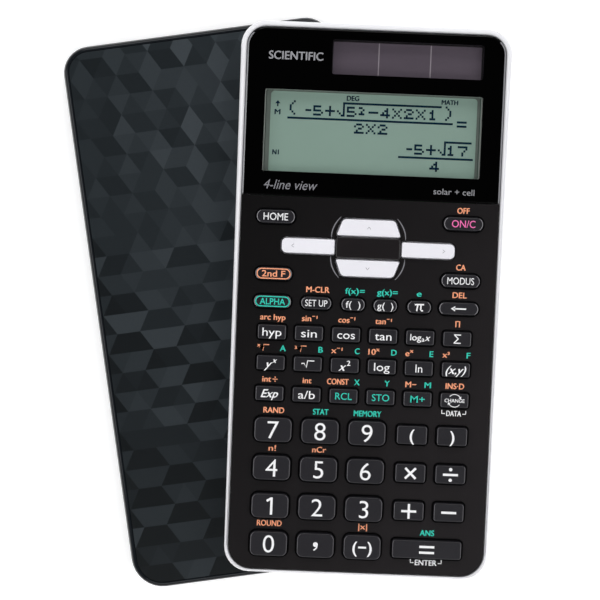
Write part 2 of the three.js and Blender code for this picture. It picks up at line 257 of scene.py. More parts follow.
def evaluated_mesh(made):
    """An object's mesh with its modifiers or its lettering worked out."""
    bpy.context.view_layer.update()
    shaped = made.evaluated_get(bpy.context.evaluated_depsgraph_get())
    return bpy.data.meshes.new_from_object(shaped)


def carve(piece, cutter):
    """Cuts one piece out of another and removes the cutter."""
    cut = piece.modifiers.new("cut", "BOOLEAN")
    cut.operation = "DIFFERENCE"
    cut.solver = "EXACT"
    cut.object = cutter
    mesh = evaluated_mesh(piece)
    piece.modifiers.clear()
    piece.data = mesh
    bpy.data.objects.remove(cutter)


def rounded_rise(outline, top, ease):
    """Layers that round an outline's edge over into a flat top."""
    layers = []
    for step in range(RISE_STEPS + 1):
        angle = math.pi / 2 * step / RISE_STEPS
        inset = ease * (1 - math.cos(angle))
        layers.append((widened(outline, -inset), top - ease + ease * math.sin(angle)))
    layers.append((widened(outline, -ease - 0.06), top))
    return layers


# ---- materials ----

def shade(red, green, blue):
    """A screen colour from 0 to 255 as the light values that a shader takes."""
    return tuple(((value / 255 + 0.055) / 1.055) ** 2.4 if value > 10 else value / 255 / 12.92
                 for value in (red, green, blue)) + (1.0,)


def scaled(colour, factor):
    return tuple(min(value * factor, 1.0) for value in colour[:3]) + (1.0,)


def set_inputs(tree, node, **values):
    """Sets inputs, named with _ for a space, to plain values or to other nodes' outputs."""
    for name, value in values.items():
        socket = node.inputs[name.replace("_", " ")]
        if isinstance(value, bpy.types.NodeSocket):
            tree.links.new(value, socket)
        else:
            socket.default_value = value


def add_node(tree, kind, output, **values):
    """Adds a shader node with its inputs set, and returns the named output."""
    node = tree.nodes.new(f"ShaderNode{kind}")
    set_inputs(tree, node, **values)
    return node.outputs[output]


def add_ramp(tree, source, *stops):
    """Colours a value by two stops, each a position and a colour."""
    colours = add_node(tree, "ValToRGB", "Color", Fac=source)
    for element, (position, colour) in zip(colours.node.color_ramp.elements, stops):
        element.position = position
        element.color = colour
    return colours


def set_finish(material, **values):
    set_inputs(material.node_tree, material.node_tree.nodes["Principled BSDF"], **values)


def tone_of(material):
    return material.node_tree.nodes["Principled BSDF"].inputs["Base Color"].links[0].from_socket


NOISE_LOW, NOISE_HIGH = 0.3, 0.7  # the range that most of a noise pattern's values lie in
GRAIN_HEIGHT = 0.00003


def surface(name, colour, roughness, variation=0.1, patch=60, grain=9000, relief=0.1,
            metallic=0.0, coat=0.0, specular=0.5, stretch=(1, 1, 1)):
    """A finish whose tone, gloss and fine grain vary a little over the surface.

    patch and grain are pattern scales in waves per metre, relief is the grain's strength.
    """
    material = bpy.data.materials.new(name)
    material.use_nodes = True
    tree = material.node_tree
    where = add_node(tree, "TexCoord", "Object")
    where = add_node(tree, "Mapping", "Vector", Vector=where, Scale=stretch)
    tone = add_node(tree, "TexNoise", "Fac", Vector=where, Scale=patch, Detail=3.0)
    fine = add_node(tree, "TexNoise", "Fac", Vector=where, Scale=grain, Detail=2.0)
    tint = add_ramp(tree, tone, (NOISE_LOW, scaled(colour, 1 - variation)),
                    (NOISE_HIGH, scaled(colour, 1 + variation)))
    gloss = add_node(tree, "MapRange", "Result", Value=fine, From_Min=NOISE_LOW,
                     From_Max=NOISE_HIGH, To_Min=roughness * 0.9, To_Max=roughness * 1.1)
    bump = add_node(tree, "Bump", "Normal", Height=fine, Strength=relief, Distance=GRAIN_HEIGHT)
    set_finish(material, Base_Color=tint, Roughness=gloss, Normal=bump, Metallic=metallic,
               Coat_Weight=coat, Coat_Roughness=0.08, Specular_IOR_Level=specular)
    return material


WHITE_SHELL = surface("white_shell", shade(241, 241, 244), 0.3, variation=0.015, relief=0.03)
BLACK_PANEL = surface("black_panel", shade(15, 13, 14), 0.42, variation=0.08, relief=0.25,
                      specular=0.13)
BLACK_GLOSS = surface("black_gloss", shade(1, 1, 1), 0.06, variation=0.2, relief=0.01,
                      specular=0.12)
# Pale grey painted highlight on the window's bevel along its long sides.
WINDOW_EDGE_HIGHLIGHT = surface("window_edge_highlight", shade(142, 142, 146), 0.2, variation=0.05, patch=200)
PAD_GLOSS = surface("pad_gloss", shade(30, 27, 28), 0.16, variation=0.08, relief=0.03)
BLACK_KEY = surface("black_key", shade(35, 34, 38), 0.3, variation=0.07, relief=0.15,
                    specular=0.3)
# Painted highlights on the caps' eased edges where they turn to the left or right: grey on square
# keys, paler on oval keys.
KEY_EDGE_HIGHLIGHT = surface("key_edge_highlight", shade(88, 86, 90), 0.3, variation=0.07, patch=400)
OVAL_EDGE_HIGHLIGHT = surface("oval_edge_highlight", shade(150, 148, 152), 0.3, variation=0.07, patch=400)
WHITE_KEY = surface("white_key", shade(242, 241, 247), 0.3, variation=0.015, relief=0.05)
INKS = {
    name: surface(f"ink_{name}", shade(*colour), roughness, variation=variation, patch=900)
    for name, colour, roughness, variation in (
        ("white", (245, 245, 246), 0.5, 0.03),
        ("orange", (255, 166, 124), 0.5, 0.05),
        ("teal", (36, 205, 182), 0.5, 0.05),
        ("pink", (246, 112, 180), 0.5, 0.05),
        ("grey", (128, 127, 132), 0.5, 0.05),
        ("silver", (152, 152, 156), 0.35, 0.05),
    )
}
LCD_GLASS = surface("lcd_glass", shade(118, 141, 130), 0.5, variation=0.05, patch=18,
                    grain=5000, relief=0.05)
LCD_DOT = surface("lcd_dot", shade(0, 30, 50), 0.6, patch=700, specular=0.03)
BEZEL_GREY = surface("bezel_grey", shade(96, 104, 98), 0.45, variation=0.08, patch=200)
GASKET = surface("gasket", shade(150, 156, 150), 0.4, variation=0.06, patch=300)
# Black for the solar cell's bezel, and painted shade on the walls and chamfers of the key holes,
# darker than the panel round them.
BEZEL_AND_SHADE_BLACK = surface("bezel_and_painted_shade_black", shade(12, 12, 13), 0.6, patch=200, specular=0.2)
SOLAR_CELL = surface("solar_cell", shade(78, 70, 79), 0.3, variation=0.05, patch=90,
                     grain=3000, relief=0.1, stretch=(1, 8, 1))
SOLAR_LINE = surface("solar_line", shade(158, 150, 156), 0.35, variation=0.08, patch=400)
BOARD_GREEN = surface("board_green", shade(31, 90, 52), 0.45, variation=0.2, patch=220)
MAT_RUBBER = surface("mat_rubber", shade(60, 61, 65), 0.8, variation=0.12, patch=150, relief=0.5)
CELL_STEEL = surface("cell_steel", shade(190, 192, 194), 0.28, variation=0.06, patch=300,
                     metallic=0.9, stretch=(1, 12, 1))
SCREW_STEEL = surface("screw_steel", shade(120, 122, 126), 0.32, variation=0.12, patch=900,
                      metallic=0.95)
FOOT_RUBBER = surface("foot_rubber", shade(34, 34, 36), 0.85, variation=0.15, patch=500, relief=0.6)
COVER_SHELL = surface("cover_shell", shade(19, 23, 27), 0.14, variation=0.06, relief=0.03,
                      coat=0.15, specular=0.15)
SHADE_COUNT = 12
COVER_SHADES = [
    surface(f"cover_shade_{level}", shade(3 + 4.9 * level, 9 + 4.9 * level, 12 + 5.0 * level),
            0.34, variation=0.07, patch=900, grain=5000, relief=0.12, specular=0.3,
            stretch=(1, 14, 1))
    for level in range(SHADE_COUNT)
]


def paint_light_gradient(material, way, start, end, factors):
    """Paints light and shade into a finish: its brightness changes evenly from start to end, in
    metres along a way.
    """
    tree = material.node_tree
    along = tree.nodes.new("ShaderNodeVectorMath")
    along.operation = "DOT_PRODUCT"
    along.inputs[1].default_value = way
    tree.links.new(tree.nodes["Texture Coordinate"].outputs["Object"], along.inputs[0])
    factor = add_node(tree, "MapRange", "Result", Value=along.outputs["Value"],
                      From_Min=start, From_Max=end, To_Min=factors[0], To_Max=factors[1])
    tint = add_node(tree, "HueSaturation", "Color", Color=tone_of(material), Value=factor)
    set_finish(material, Base_Color=tint)


# Painted shade and sheen: the black panel is painted darker towards the top left and lighter towards
# the bottom right, where the lights' gloss falls.
paint_light_gradient(BLACK_PANEL, (1, -0.6, 0), -0.03, 0.08, (0.4, 2.6))


def paint_glow(material, strength):
    """Painted light: makes a recessed surface glow in its own tone, so that the shade the frame round
    it casts is washed out.
    """
    set_finish(material, Emission_Color=tone_of(material), Emission_Strength=strength)


# Painted light: the display glass and the solar cell glow a little, which washes out the shade of the
# recesses they lie in.
paint_glow(LCD_GLASS, 0.28)
paint_glow(SOLAR_CELL, 0.27)


def clear_sheet(name):
    """A lens: nearly see-through, with a faint gloss."""
    material = surface(name, shade(20, 22, 24), 0.05, relief=0.0, specular=0.2)
    set_finish(material, Alpha=0.05)
    return material


CLEAR_LENS = clear_sheet("clear_lens")


# ---- pieces on their bodies ----

def fix(piece, body, slot, *nodes):
    """Puts a finished piece on its body, in place of any frame nodes named. slot is not used."""
    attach(piece, body)
    if nodes:
        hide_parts(*nodes)


def add_piece(shape, name, materials, body, slot, *nodes, sharp=35):
    """Makes a piece and fixes it. Edges sharper than sharp degrees stay crisp."""
    fix(make_piece(shape, name, materials, sharp), body, slot, *nodes)


def add_solid(layers, *piece):
    """Adds a closed body through layers of (outline, z). The rest is as for add_piece."""
    shape = Shape()
    shape.solid(layers)
    add_piece(shape, *piece)


def add_hoop(layers, *piece):
    """Adds a closed frame, whose layers run once round its cross-section."""
    shape = Shape()
    shape.hoop(layers)
    add_piece(shape, *piece)


# ---- white rear shell ----

BODY = {"top_width": 80.7, "bottom_width": 79.2, "top_radius": 7.5, "bottom_radius": 7.5}
BODY_LENGTH = SHELL_HIGH.y - SHELL_LOW.y
PANEL_RADII = {"top": 5.7, "bottom": 7.0}
SEAT_GAP = 0.3
CAVITY = {"width": 73.2, "top": 79.2, "bottom": -78.9, "radius": 1.5}
FLOOR_TOP = 1.6
SEAT_LEDGE = 10.3
GROOVE = {"floor": 38.0, "bottom": 6.2, "top": 7.6}
# The pockets for the screws and the feet: how far from the centre line, on which rows of the
# face, their radius and depth.
SCREW = {"x": 34.4, "rows": (4.0, 148.5), "radius": 2.2, "depth": 1.2}
FOOT = {"x": 28.0, "rows": (18.0, 150.0), "radius": 4.2, "depth": 0.4}
POCKET_CHAMFER = 0.15
# The shell's side below and above its groove: heights above the back, and insets.
SIDE_BELOW_GROOVE = (
    (0, 2.6), (0.12, 2.1), (0.4, 1.6), (0.8, 1.28), (1.4, 1.08), (3.5, 0.88), (6.2, 0.6),
)
SIDE_ABOVE_GROOVE = (
    (7.6, 0.25), (8.6, 0.02), (11.0, 0.0), (11.6, 0.05), (12.1, 0.22), (12.4, 0.44), (12.6, 0.75),
)
LEAST_RADIUS = 0.6  # an inset sharpens no corner further than this
# A screw's head and its cross recess, by heights above the screw's seat.
SCREW_HEAD = ((1.1, 0), (2.0, -0.02), (2.0, -0.45), (1.8, -0.75), (1.35, -0.92))
SCREW_RECESS = ((0.95, 0.2, -0.92), (0.7, 0.12, -0.35))
# A foot's radii and heights above the back.
FOOT_PROFILE = ((3.5, -0.24), (3.85, -0.18), (4.02, -0.02), (4.02, FOOT["depth"]))


def tapered(top_width, bottom_width, top, bottom, top_radius, bottom_radius, inset=0.0):
    """A four-sided outline with other widths and corners at its top than at its bottom."""
    x_top = top_width / 2 - inset
    x_bottom = bottom_width / 2 - inset
    upper = max(top_radius - inset, min(top_radius, LEAST_RADIUS))
    lower = max(bottom_radius - inset, min(bottom_radius, LEAST_RADIUS))
    return rounded([
        (-x_bottom, bottom + inset, lower),
        (x_bottom, bottom + inset, lower),
        (x_top, top - inset, upper),
        (-x_top, top - inset, upper),
    ])


def body_outline(inset):
    outline = tapered(top=BODY_LENGTH / 2, bottom=-BODY_LENGTH / 2, inset=inset, **BODY)
    return placed(outline, CENTRE)


def panel_outline(inset):
    top = PANEL_TOP - CENTRE.y
    outline = tapered(PANEL_WIDTH, PANEL_WIDTH, top, top - PANEL_LENGTH,
                      PANEL_RADII["top"], PANEL_RADII["bottom"], inset)
    return placed(outline, CENTRE)


def within_groove(outline):
    """The outline pressed in at both sides, as deep as the groove's floor."""
    reach = GROOVE["floor"]
    return [
        Vector((CENTRE.x + max(-reach, min(reach, point.x - CENTRE.x)), point.y))
        for point in outline
    ]


def pocket_places(pocket):
    return [
        Vector((CENTRE.x + side * pocket["x"], PANEL_TOP - row))
        for row in pocket["rows"]
        for side in (-1, 1)
    ]


def make_rear_shell():
    shape = Shape()
    lower = shape.skin([(body_outline(inset), BACK + z) for z, inset in SIDE_BELOW_GROOVE])
    groove_low = body_outline(SIDE_BELOW_GROOVE[-1][1])
    groove_high = body_outline(SIDE_ABOVE_GROOVE[0][1])
    groove = shape.skin([
        (within_groove(groove_low), BACK + GROOVE["bottom"]),
        (within_groove(groove_high), BACK + GROOVE["top"]),
    ])
    upper = shape.skin([(body_outline(inset), BACK + z) for z, inset in SIDE_ABOVE_GROOVE])
    shape.wall(lower[-1], groove[0])
    shape.wall(groove[1], upper[0])

    rim = SIDE_ABOVE_GROOVE[-1][0]
    cavity = placed(tapered(
        CAVITY["width"], CAVITY["width"], CAVITY["top"], CAVITY["bottom"],
        CAVITY["radius"], CAVITY["radius"]), CENTRE)
    inside = shape.skin([
        (panel_outline(-SEAT_GAP - 0.3), BACK + rim),
        (panel_outline(-SEAT_GAP), BACK + rim - 0.4),
        (panel_outline(-SEAT_GAP), BACK + SEAT_LEDGE),
        (cavity, BACK + SEAT_LEDGE),
        (cavity, BACK + FLOOR_TOP),
    ])
    shape.wall(upper[-1], inside[0])
    shape.face(inside[-1])

    outside = [lower[0]]
    for pocket in (SCREW, FOOT):
        for place in pocket_places(pocket):
            rings = shape.skin([
                (circle(place, pocket["radius"] + POCKET_CHAMFER), BACK),
                (circle(place, pocket["radius"]), BACK + POCKET_CHAMFER),
                (circle(place, pocket["radius"]), BACK + pocket["depth"]),
            ])
            shape.face(rings[-1])
            outside.append(rings[0])
    shape.sheet(outside)
    add_piece(shape, "rear_shell", [WHITE_SHELL], "housing", "white_shell", "rear_case")


def cross_outline(centre, arm, half_width):
    """A plus sign whose arms reach arm from the centre."""
    corners = []
    for quarter in range(4):
        spin = Matrix.Rotation(quarter * math.pi / 2, 2)
        for x, y in ((half_width, half_width), (half_width, arm), (-half_width, arm)):
            corners.append(spin @ Vector((x, y)) + centre)
    return corners


def make_screws():
    for number, place in enumerate(pocket_places(SCREW), 1):
        shape = Shape()
        seat = BACK + SCREW["depth"]
        head = shape.skin([(circle(place, radius), seat + z) for radius, z in SCREW_HEAD])
        recess = shape.skin([
            (cross_outline(place, arm, half_width), seat + z)
            for arm, half_width, z in SCREW_RECESS
        ])
        shape.sheet([head[-1], recess[0]])
        shape.face(head[0])
        shape.face(recess[-1])
        add_piece(shape, f"case_screw_{number}", [SCREW_STEEL], "housing", "steel")


def make_feet():
    for number, place in enumerate(pocket_places(FOOT), 1):
        layers = [(circle(place, radius), BACK + z) for radius, z in FOOT_PROFILE]
        add_solid(layers, f"rubber_foot_{number}", [FOOT_RUBBER], "housing", "rubber_mat")


# ---- keys ----

FLANGE = {"reach": 0.5, "thickness": 0.9}
KEY_EASE = 0.34
PRINT_ROOM = 0.03  # what a cap's top stays below the frame's, so that its print fits too
KEY_DRAFT = 0.1
HOLE_GAP = 0.3
WEDGE = {"inner": 19.4, "outer": 15.7, "height": 5.1, "inner_radius": 0.5, "outer_radius": 1.6}
BAR = {"inner_radius": 0.5, "outer_radius": 1.5}
CORNER = {"func": 0.8, "number": 2.0, "operator": 1.0}

FUNC_KEYS = (
    "hyp sin cos tan log_base sum power root square log ln pair "
    "exp fraction recall store memory_plus change").split()
NUMBER_KEYS = "7 8 9 4 5 6 1 2 3 0 point sign".split()
OPERATOR_KEYS = "open close times divide plus minus equals".split()
OVAL_KEYS = "home on_clear second mode alpha setup f_of g_of pi backspace".split()
# The cursor keys and their turns: down is up turned round, and right is left turned round.
CURSOR_KEYS = {
    "cursor_up": 0.0, "cursor_down": math.pi, "cursor_left": 0.0, "cursor_right": math.pi,
}


class Key:
    """One key's name, place, outline and top, worked out from its frame node."""

    def __init__(self, name):
        self.name = name
        self.node = f"key_{name}"
        low, high = box_mm(self.node)
        self.low = low.z
        self.top = high.z - PRINT_ROOM
        self.centre = (low + high) / 2
        self.width = high.x - low.x - 2 * FLANGE["reach"]
        self.height = high.y - low.y - 2 * FLANGE["reach"]
        self.outline = placed(self.local_outline(), self.centre, CURSOR_KEYS.get(name, 0.0))

    def local_outline(self):
        if self.name in ("cursor_up", "cursor_down"):
            half = WEDGE["height"] / 2
            return tapered(WEDGE["outer"], WEDGE["inner"], half, -half,
                           WEDGE["outer_radius"], WEDGE["inner_radius"])
        if self.name in CURSOR_KEYS:
            x = self.width / 2
            y = self.height / 2
            return rounded([
                (-x, -y, BAR["outer_radius"]),
                (x, -y, BAR["inner_radius"]),
                (x, y, BAR["inner_radius"]),
                (-x, y, BAR["outer_radius"]),
            ])
        radius = CORNER["func"]
        if self.name in OVAL_KEYS:
            radius = self.height / 2 - 0.05
        if self.name in NUMBER_KEYS:
            radius = CORNER["number"]
        if self.name in OPERATOR_KEYS:
            radius = CORNER["operator"]
        return centred_box(self.width, self.height, radius)


KEYS = {
    name: Key(name)
    for name in FUNC_KEYS + NUMBER_KEYS + OPERATOR_KEYS + OVAL_KEYS + list(CURSOR_KEYS)
}


def paint_end_highlights(shape, key):
    """Paints a highlight on the eased edge: a brighter finish where it turns to the left or right."""
    for index, face in enumerate(shape.faces):
        if len(face) > 4:
            continue
        corners = [Vector(shape.points[corner]) for corner in face]
        normal = (corners[1] - corners[0]).cross(corners[3] - corners[0]).normalized()
        near_top = min(corner.z for corner in corners) > key.top - 0.7 * KEY_EASE
        if near_top and abs(normal.x) > 0.28 and abs(normal.z) < 0.97:
            shape.slots[index] = 1


def make_key_cap(key):
    """A cap with sloping sides and an eased edge, on the flange that keeps it captive."""
    shape = Shape()
    flange_top = key.low + FLANGE["thickness"]
    layers = [
        (widened(key.outline, FLANGE["reach"]), key.low),
        (widened(key.outline, FLANGE["reach"]), flange_top),
        (key.outline, flange_top + 0.05),
    ]
    layers += rounded_rise(widened(key.outline, -KEY_DRAFT), key.top, KEY_EASE)
    shape.solid(layers)
    if key.name in CURSOR_KEYS:
        materials = [WHITE_KEY]
        slot = "white_key"
    else:
        # The cap's left and right edges get a painted highlight.
        paint_end_highlights(shape, key)
        materials = [BLACK_KEY, OVAL_EDGE_HIGHLIGHT if key.name in OVAL_KEYS else KEY_EDGE_HIGHLIGHT]
        slot = "black_key"
    add_piece(shape, f"cap_{key.name}", materials, key.node, slot, key.node)


# ---- key panel and pad ----

PLATE_BOTTOM = 10.6
PLATE_CHAMFER = 0.12
HOLE_CHAMFER = 0.22
SPLIT_GAP = 0.06  # half the gap between the key panel and the window
SPLIT_RADIUS = 0.08
PAD_CHAMFER = 0.05
PAD = {"x": 38.25, "y": 64.5, "width": 19.1, "height": 6.2, "top": 12.9}
# One ridge, from the pad's centre: a curve from start to end, drawn towards bend. Its pale grey ink
# is a painted highlight.
ARC_START = Vector((11.05, 2.8))
ARC_BEND = Vector((11.2, 6.1))
ARC_END = Vector((8.4, 9.1))
ARC = {"width": 0.34, "rise": 0.12, "depth": 0.2, "steps": 12}


def half_panel(top, bottom, top_radius, bottom_radius, inset):
    """The part of the panel between two distances down the face."""
    return face_box(inset, PANEL_WIDTH - inset, top + inset, bottom - inset,
                    bottom_radius, top_radius)


def key_panel_outline(inset):
    radius = PANEL_RADII["bottom"] - inset
    return half_panel(WINDOW_END + SPLIT_GAP, PANEL_LENGTH, SPLIT_RADIUS, radius, inset)


def make_key_panel():
    shape = Shape()
    low = BACK + PLATE_BOTTOM
    walls = [shape.skin([
        (key_panel_outline(0.0), low),
        (key_panel_outline(0.0), FACE - PLATE_CHAMFER),
        (key_panel_outline(PLATE_CHAMFER), FACE),
    ])]
    for key in KEYS.values():
        chamfer = PAD_CHAMFER if key.name in CURSOR_KEYS else HOLE_CHAMFER
        # The holes' walls and chamfers get the darker black as painted shade in the gaps round the
        # keys.
        walls.append(shape.skin([
            (widened(key.outline, HOLE_GAP), low),
            (widened(key.outline, HOLE_GAP), FACE - chamfer),
            (widened(key.outline, HOLE_GAP + chamfer), FACE),
        ], slot=1))
    shape.plate(walls)
    materials = [BLACK_PANEL, BEZEL_AND_SHADE_BLACK]
    add_piece(shape, "key_panel", materials, "housing", "black_panel", "front_case")


def make_pad_centre():
    outline = placed(centred_box(PAD["width"], PAD["height"], 0.5), on_face(PAD["x"], PAD["y"]))
    layers = [(outline, FACE - 0.4)] + rounded_rise(outline, BACK + PAD["top"], 0.25)
    add_solid(layers, "pad_centre", [PAD_GLOSS], "housing", "black_panel")


def arc_outline():
    """The ridge's outline, thinner towards both of its ends."""
    right = []
    left = []
    for step in range(ARC["steps"] + 1):
        t = step / ARC["steps"]
        point = ARC_START * (1 - t) ** 2 + ARC_BEND * 2 * t * (1 - t) + ARC_END * t ** 2
        along = ((ARC_BEND - ARC_START) * (1 - t) + (ARC_END - ARC_BEND) * t).normalized()
        taper = 0.35 + 0.65 * math.sin(math.pi * t) ** 0.6
        offset = Vector((along.y, -along.x)) * ARC["width"] * taper / 2
        right.append(point + offset)
        left.append(point - offset)
    return right + left[::-1]


def make_pad_arcs():
    """Four thin ridges that curve past the ends of the up and down keys, in pale grey ink as a
    painted highlight of the edge round the keys.
    """
    shape = Shape()
    centre = on_face(PAD["x"], PAD["y"])
    for side in (-1, 1):
        for way in (-1, 1):
            outline = [centre + Vector((side * x, way * y)) for x, y in arc_outline()]
            if side * way < 0:
                outline.reverse()
            shape.solid([(outline, FACE - ARC["depth"]), (outline, FACE + ARC["rise"])])
    # The grey ink is a painted highlight of the aperture's edge.
    add_piece(shape, "pad_arcs", [INKS["grey"]], "housing", "black_panel")


# ---- window, display and solar cell ----

DISPLAY = {"left": 5.75, "right": 70.5, "top": 18.25, "bottom": 42.6, "radius": 0.5}
SOLAR = {"left": 25.25, "right": 70.25, "top": 3.0, "bottom": 13.25, "radius": 0.7}
WINDOW_BEVEL = 0.4
SOLAR_DIVIDERS = (0.31, 0.655)  # where the strips meet, as shares of the opening's width
LCD_VIEW = {
    "left": 7.5, "right": 69.25, "top": 18.6, "bottom": 42.45, "radius": 0.5, "top_radius": 1.1,
}
SOLAR_DIVIDER = {"width": 0.32, "end_gap": 0.35, "depth": 0.05, "rise": 0.06}
BEZEL_TOP = WINDOW_BOTTOM - 0.03


def opening(box, inset=0.0):
    """The window's opening over the display or the solar cell."""
    return widened(face_box(**box), -inset)


def window_outline(inset):
    radius = PANEL_RADII["top"] - inset
    return half_panel(0.0, WINDOW_END - SPLIT_GAP, radius, SPLIT_RADIUS, inset)


def make_window():
    """The glossy sheet, with a bevel along its two long sides that gets a pale grey painted
    highlight.
    """
    shape = Shape()
    outer = shape.skin([
        (window_outline(0.0), WINDOW_BOTTOM),
        (window_outline(0.0), FACE - WINDOW_BEVEL / 2),
    ])
    edge = shape.ring(window_outline(WINDOW_BEVEL), FACE)
    # The bevel's faces along the long sides take the painted highlight; the others stay glossy black.
    for index, low in enumerate(outer[-1]):
        ahead = (index + 1) % len(edge)
        along = Vector(shape.points[edge[ahead]]) - Vector(shape.points[edge[index]])
        sideways = abs(along.y) > abs(along.x)
        shape.face((low, outer[-1][ahead], edge[ahead], edge[index]), 1 if sideways else 0)
    holes = [
        shape.skin([(opening(box), WINDOW_BOTTOM), (opening(box), FACE)])
        for box in (DISPLAY, SOLAR)
    ]
    shape.plate([(outer[0], edge)] + holes)
    materials = [BLACK_GLOSS, WINDOW_EDGE_HIGHLIGHT]
    add_piece(shape, "window_frame", materials, "housing", "window", "display_window", sharp=20)


def make_lenses():
    for name, box in (("display_lens", DISPLAY), ("solar_lens", SOLAR)):
        outline = opening(box, 0.02)
        add_solid([
            (outline, WINDOW_BOTTOM + 0.02),
            (outline, FACE - 0.05),
            (widened(outline, -0.05), FACE - 0.01),
        ], name, [CLEAR_LENS], "housing", "window")


def bezel_outline(side, end):
    """The display opening made smaller by side at both sides and by end at top and bottom."""
    return face_box(DISPLAY["left"] + side, DISPLAY["right"] - side,
                    DISPLAY["top"] + end, DISPLAY["bottom"] - end, DISPLAY["radius"])


def make_display_bezel():
    """A pale gasket under the window, and a grey frame that slopes down to the view."""
    step = LCD_TOP + 1.3
    bottom = LCD_TOP + 0.02
    add_hoop([
        (opening(DISPLAY, -0.9), bottom),
        (opening(DISPLAY, -0.9), BEZEL_TOP),
        (bezel_outline(0.3, 0.05), BEZEL_TOP),
        (bezel_outline(0.3, 0.05), step),
    ], "display_gasket", [GASKET], "housing", "display")
    view = face_box(**LCD_VIEW)
    add_hoop([
        (bezel_outline(0.25, 0.02), bottom),
        (bezel_outline(0.55, 0.1), step - 0.15),
        (widened(view, 0.12), bottom + 0.2),
        (view, bottom),
    ], "display_bezel", [BEZEL_GREY], "housing", "display")


def make_lcd():
    outline = box_outline(LCD_LOW.x, LCD_HIGH.x, LCD_LOW.y, LCD_HIGH.y, 0.4)
    layers = [(outline, LCD_LOW.z), (outline, LCD_TOP - 0.1), (widened(outline, -0.1), LCD_TOP)]
    add_solid(layers, "lcd_glass", [LCD_GLASS], "housing", "display", "lcd_panel")


# The display's characters: rows of dots from the top down.
GLYPHS = {
    "1": ".#. ##. .#. .#. ###",
    "2": ".###. #...# ..##. .#... #####",
    "4": "...#. ..##. .#.#. ##### ...#.",
    "5": "####. #.... ####. ....# ####.",
    "7": "##### ....# ...#. ..#.. ..#..",
    "x": "#...# .#.#. ..#.. .#.#. #...#",
    "+": "..#.. ..#.. ##### ..#.. ..#..",
    "-": "... ... ### ... ...",
    "_": "..... ..... ##### ..... .....",
    "=": "..... ##### ..... ##### .....",
    "(": "..# .#. #.. #.. #.. .#. ..#",
    ")": "#.. .#. ..# ..# ..# .#. #..",
    "v": "...# ...# ...# ...# #..# .#.# ..##",
    "^": "##. ..# .#. ###",
}
# What the display shows: a character, its first column and its first row.
DISPLAY_TEXT = (
    ("(", 2, 0), ("-", 10, 2), ("5", 14, 2), ("+", 20, 2), ("v", 26, 0), ("5", 31, 2),
    ("^", 37, 2), ("_", 42, 2), ("4", 48, 2), ("x", 54, 2), ("2", 60, 2), ("x", 66, 2),
    ("1", 73, 2), (")", 81, 0), ("=", 87, 6), ("2", 35, 10), ("x", 41, 10), ("2", 47, 10),
    ("-", 62, 19), ("5", 66, 19), ("+", 72, 19), ("v", 78, 17), ("1", 83, 19), ("7", 88, 19),
    ("4", 74, 27),
)
# Straight lines on the display: first column, last column and row.
DISPLAY_BARS = ((29, 78, 0), (1, 84, 8), (81, 94, 17), (58, 95, 25))
DOT = {"left": 12.0, "top": 21.2, "width": 0.59, "height": 0.613, "gap": 0.006, "rise": 0.04}


def make_lcd_dots():
    """The lit dots of the display, each a thin raised square."""
    lit = set()
    for character, column, row in DISPLAY_TEXT:
        for down, line in enumerate(GLYPHS[character].split()):
            for across, mark in enumerate(line):
                if mark == "#":
                    lit.add((column + across, row + down))
    for first, last, row in DISPLAY_BARS:
        lit.update((column, row) for column in range(first, last + 1))
    shape = Shape()
    for column, row in sorted(lit):
        corner = on_face(DOT["left"] + column * DOT["width"], DOT["top"] + row * DOT["height"])
        gap = DOT["gap"] / 2
        shape.block(corner.x + gap, corner.x + DOT["width"] - gap,
                    corner.y - DOT["height"] + gap, corner.y - gap,
                    LCD_TOP - 0.02, LCD_TOP + DOT["rise"])
    add_piece(shape, "lcd_dots", [LCD_DOT], "housing", "display")


def make_solar_cell():
    shape = Shape()
    outline = box_outline(SOLAR_LOW.x, SOLAR_HIGH.x, SOLAR_LOW.y, SOLAR_HIGH.y, 0.4)
    top = SOLAR_HIGH.z
    shape.solid([(outline, SOLAR_LOW.z), (outline, top - 0.12), (widened(outline, -0.12), top)])
    low = on_face(SOLAR["left"], SOLAR["bottom"])
    high = on_face(SOLAR["right"], SOLAR["top"])
    reach = SOLAR_DIVIDER["width"] / 2
    gap = SOLAR_DIVIDER["end_gap"]
    for share in SOLAR_DIVIDERS:
        x = low.x + share * (high.x - low.x)
        shape.block(x - reach, x + reach, low.y + gap, high.y - gap,
                    top - SOLAR_DIVIDER["depth"], top + SOLAR_DIVIDER["rise"], slot=1)
    add_piece(shape, "solar_strips", [SOLAR_CELL, SOLAR_LINE], "housing", "solar", "solar_cell")

    add_hoop([
        (opening(SOLAR, -0.8), top + 0.02),
        (opening(SOLAR, -0.8), BEZEL_TOP),
        (opening(SOLAR, 0.0), BEZEL_TOP),
        (opening(SOLAR, 0.3), top + 0.02),
    ], "solar_bezel", [BEZEL_AND_SHADE_BLACK], "housing", "solar")


# ---- lettering ----

def text_mesh(text, size, bold=0.0, slant=0.0):
    """The built-in lettering as a thin solid, in text units, standing on its baseline."""
    curve = bpy.data.curves.new("lettering", "FONT")
    curve.body = text
    curve.size = size
    curve.extrude = 0.5
    curve.offset = bold
    curve.shear = slant
    curve.resolution_u = 4
    letters = link(curve, "lettering")
    mesh = evaluated_mesh(letters)
    bpy.data.objects.remove(letters)
    return mesh


def cap_height_of_font():
    letter = text_mesh("H", 1.0)
    heights = [vertex.co.y for vertex in letter.vertices]
    return max(heights) - min(heights)


FONT_CAP = cap_height_of_font()
INK_THICKNESS = 0.07
INK_RISE = 0.02
LAYER = 0.004  # keeps prints that overlap from lying in one plane


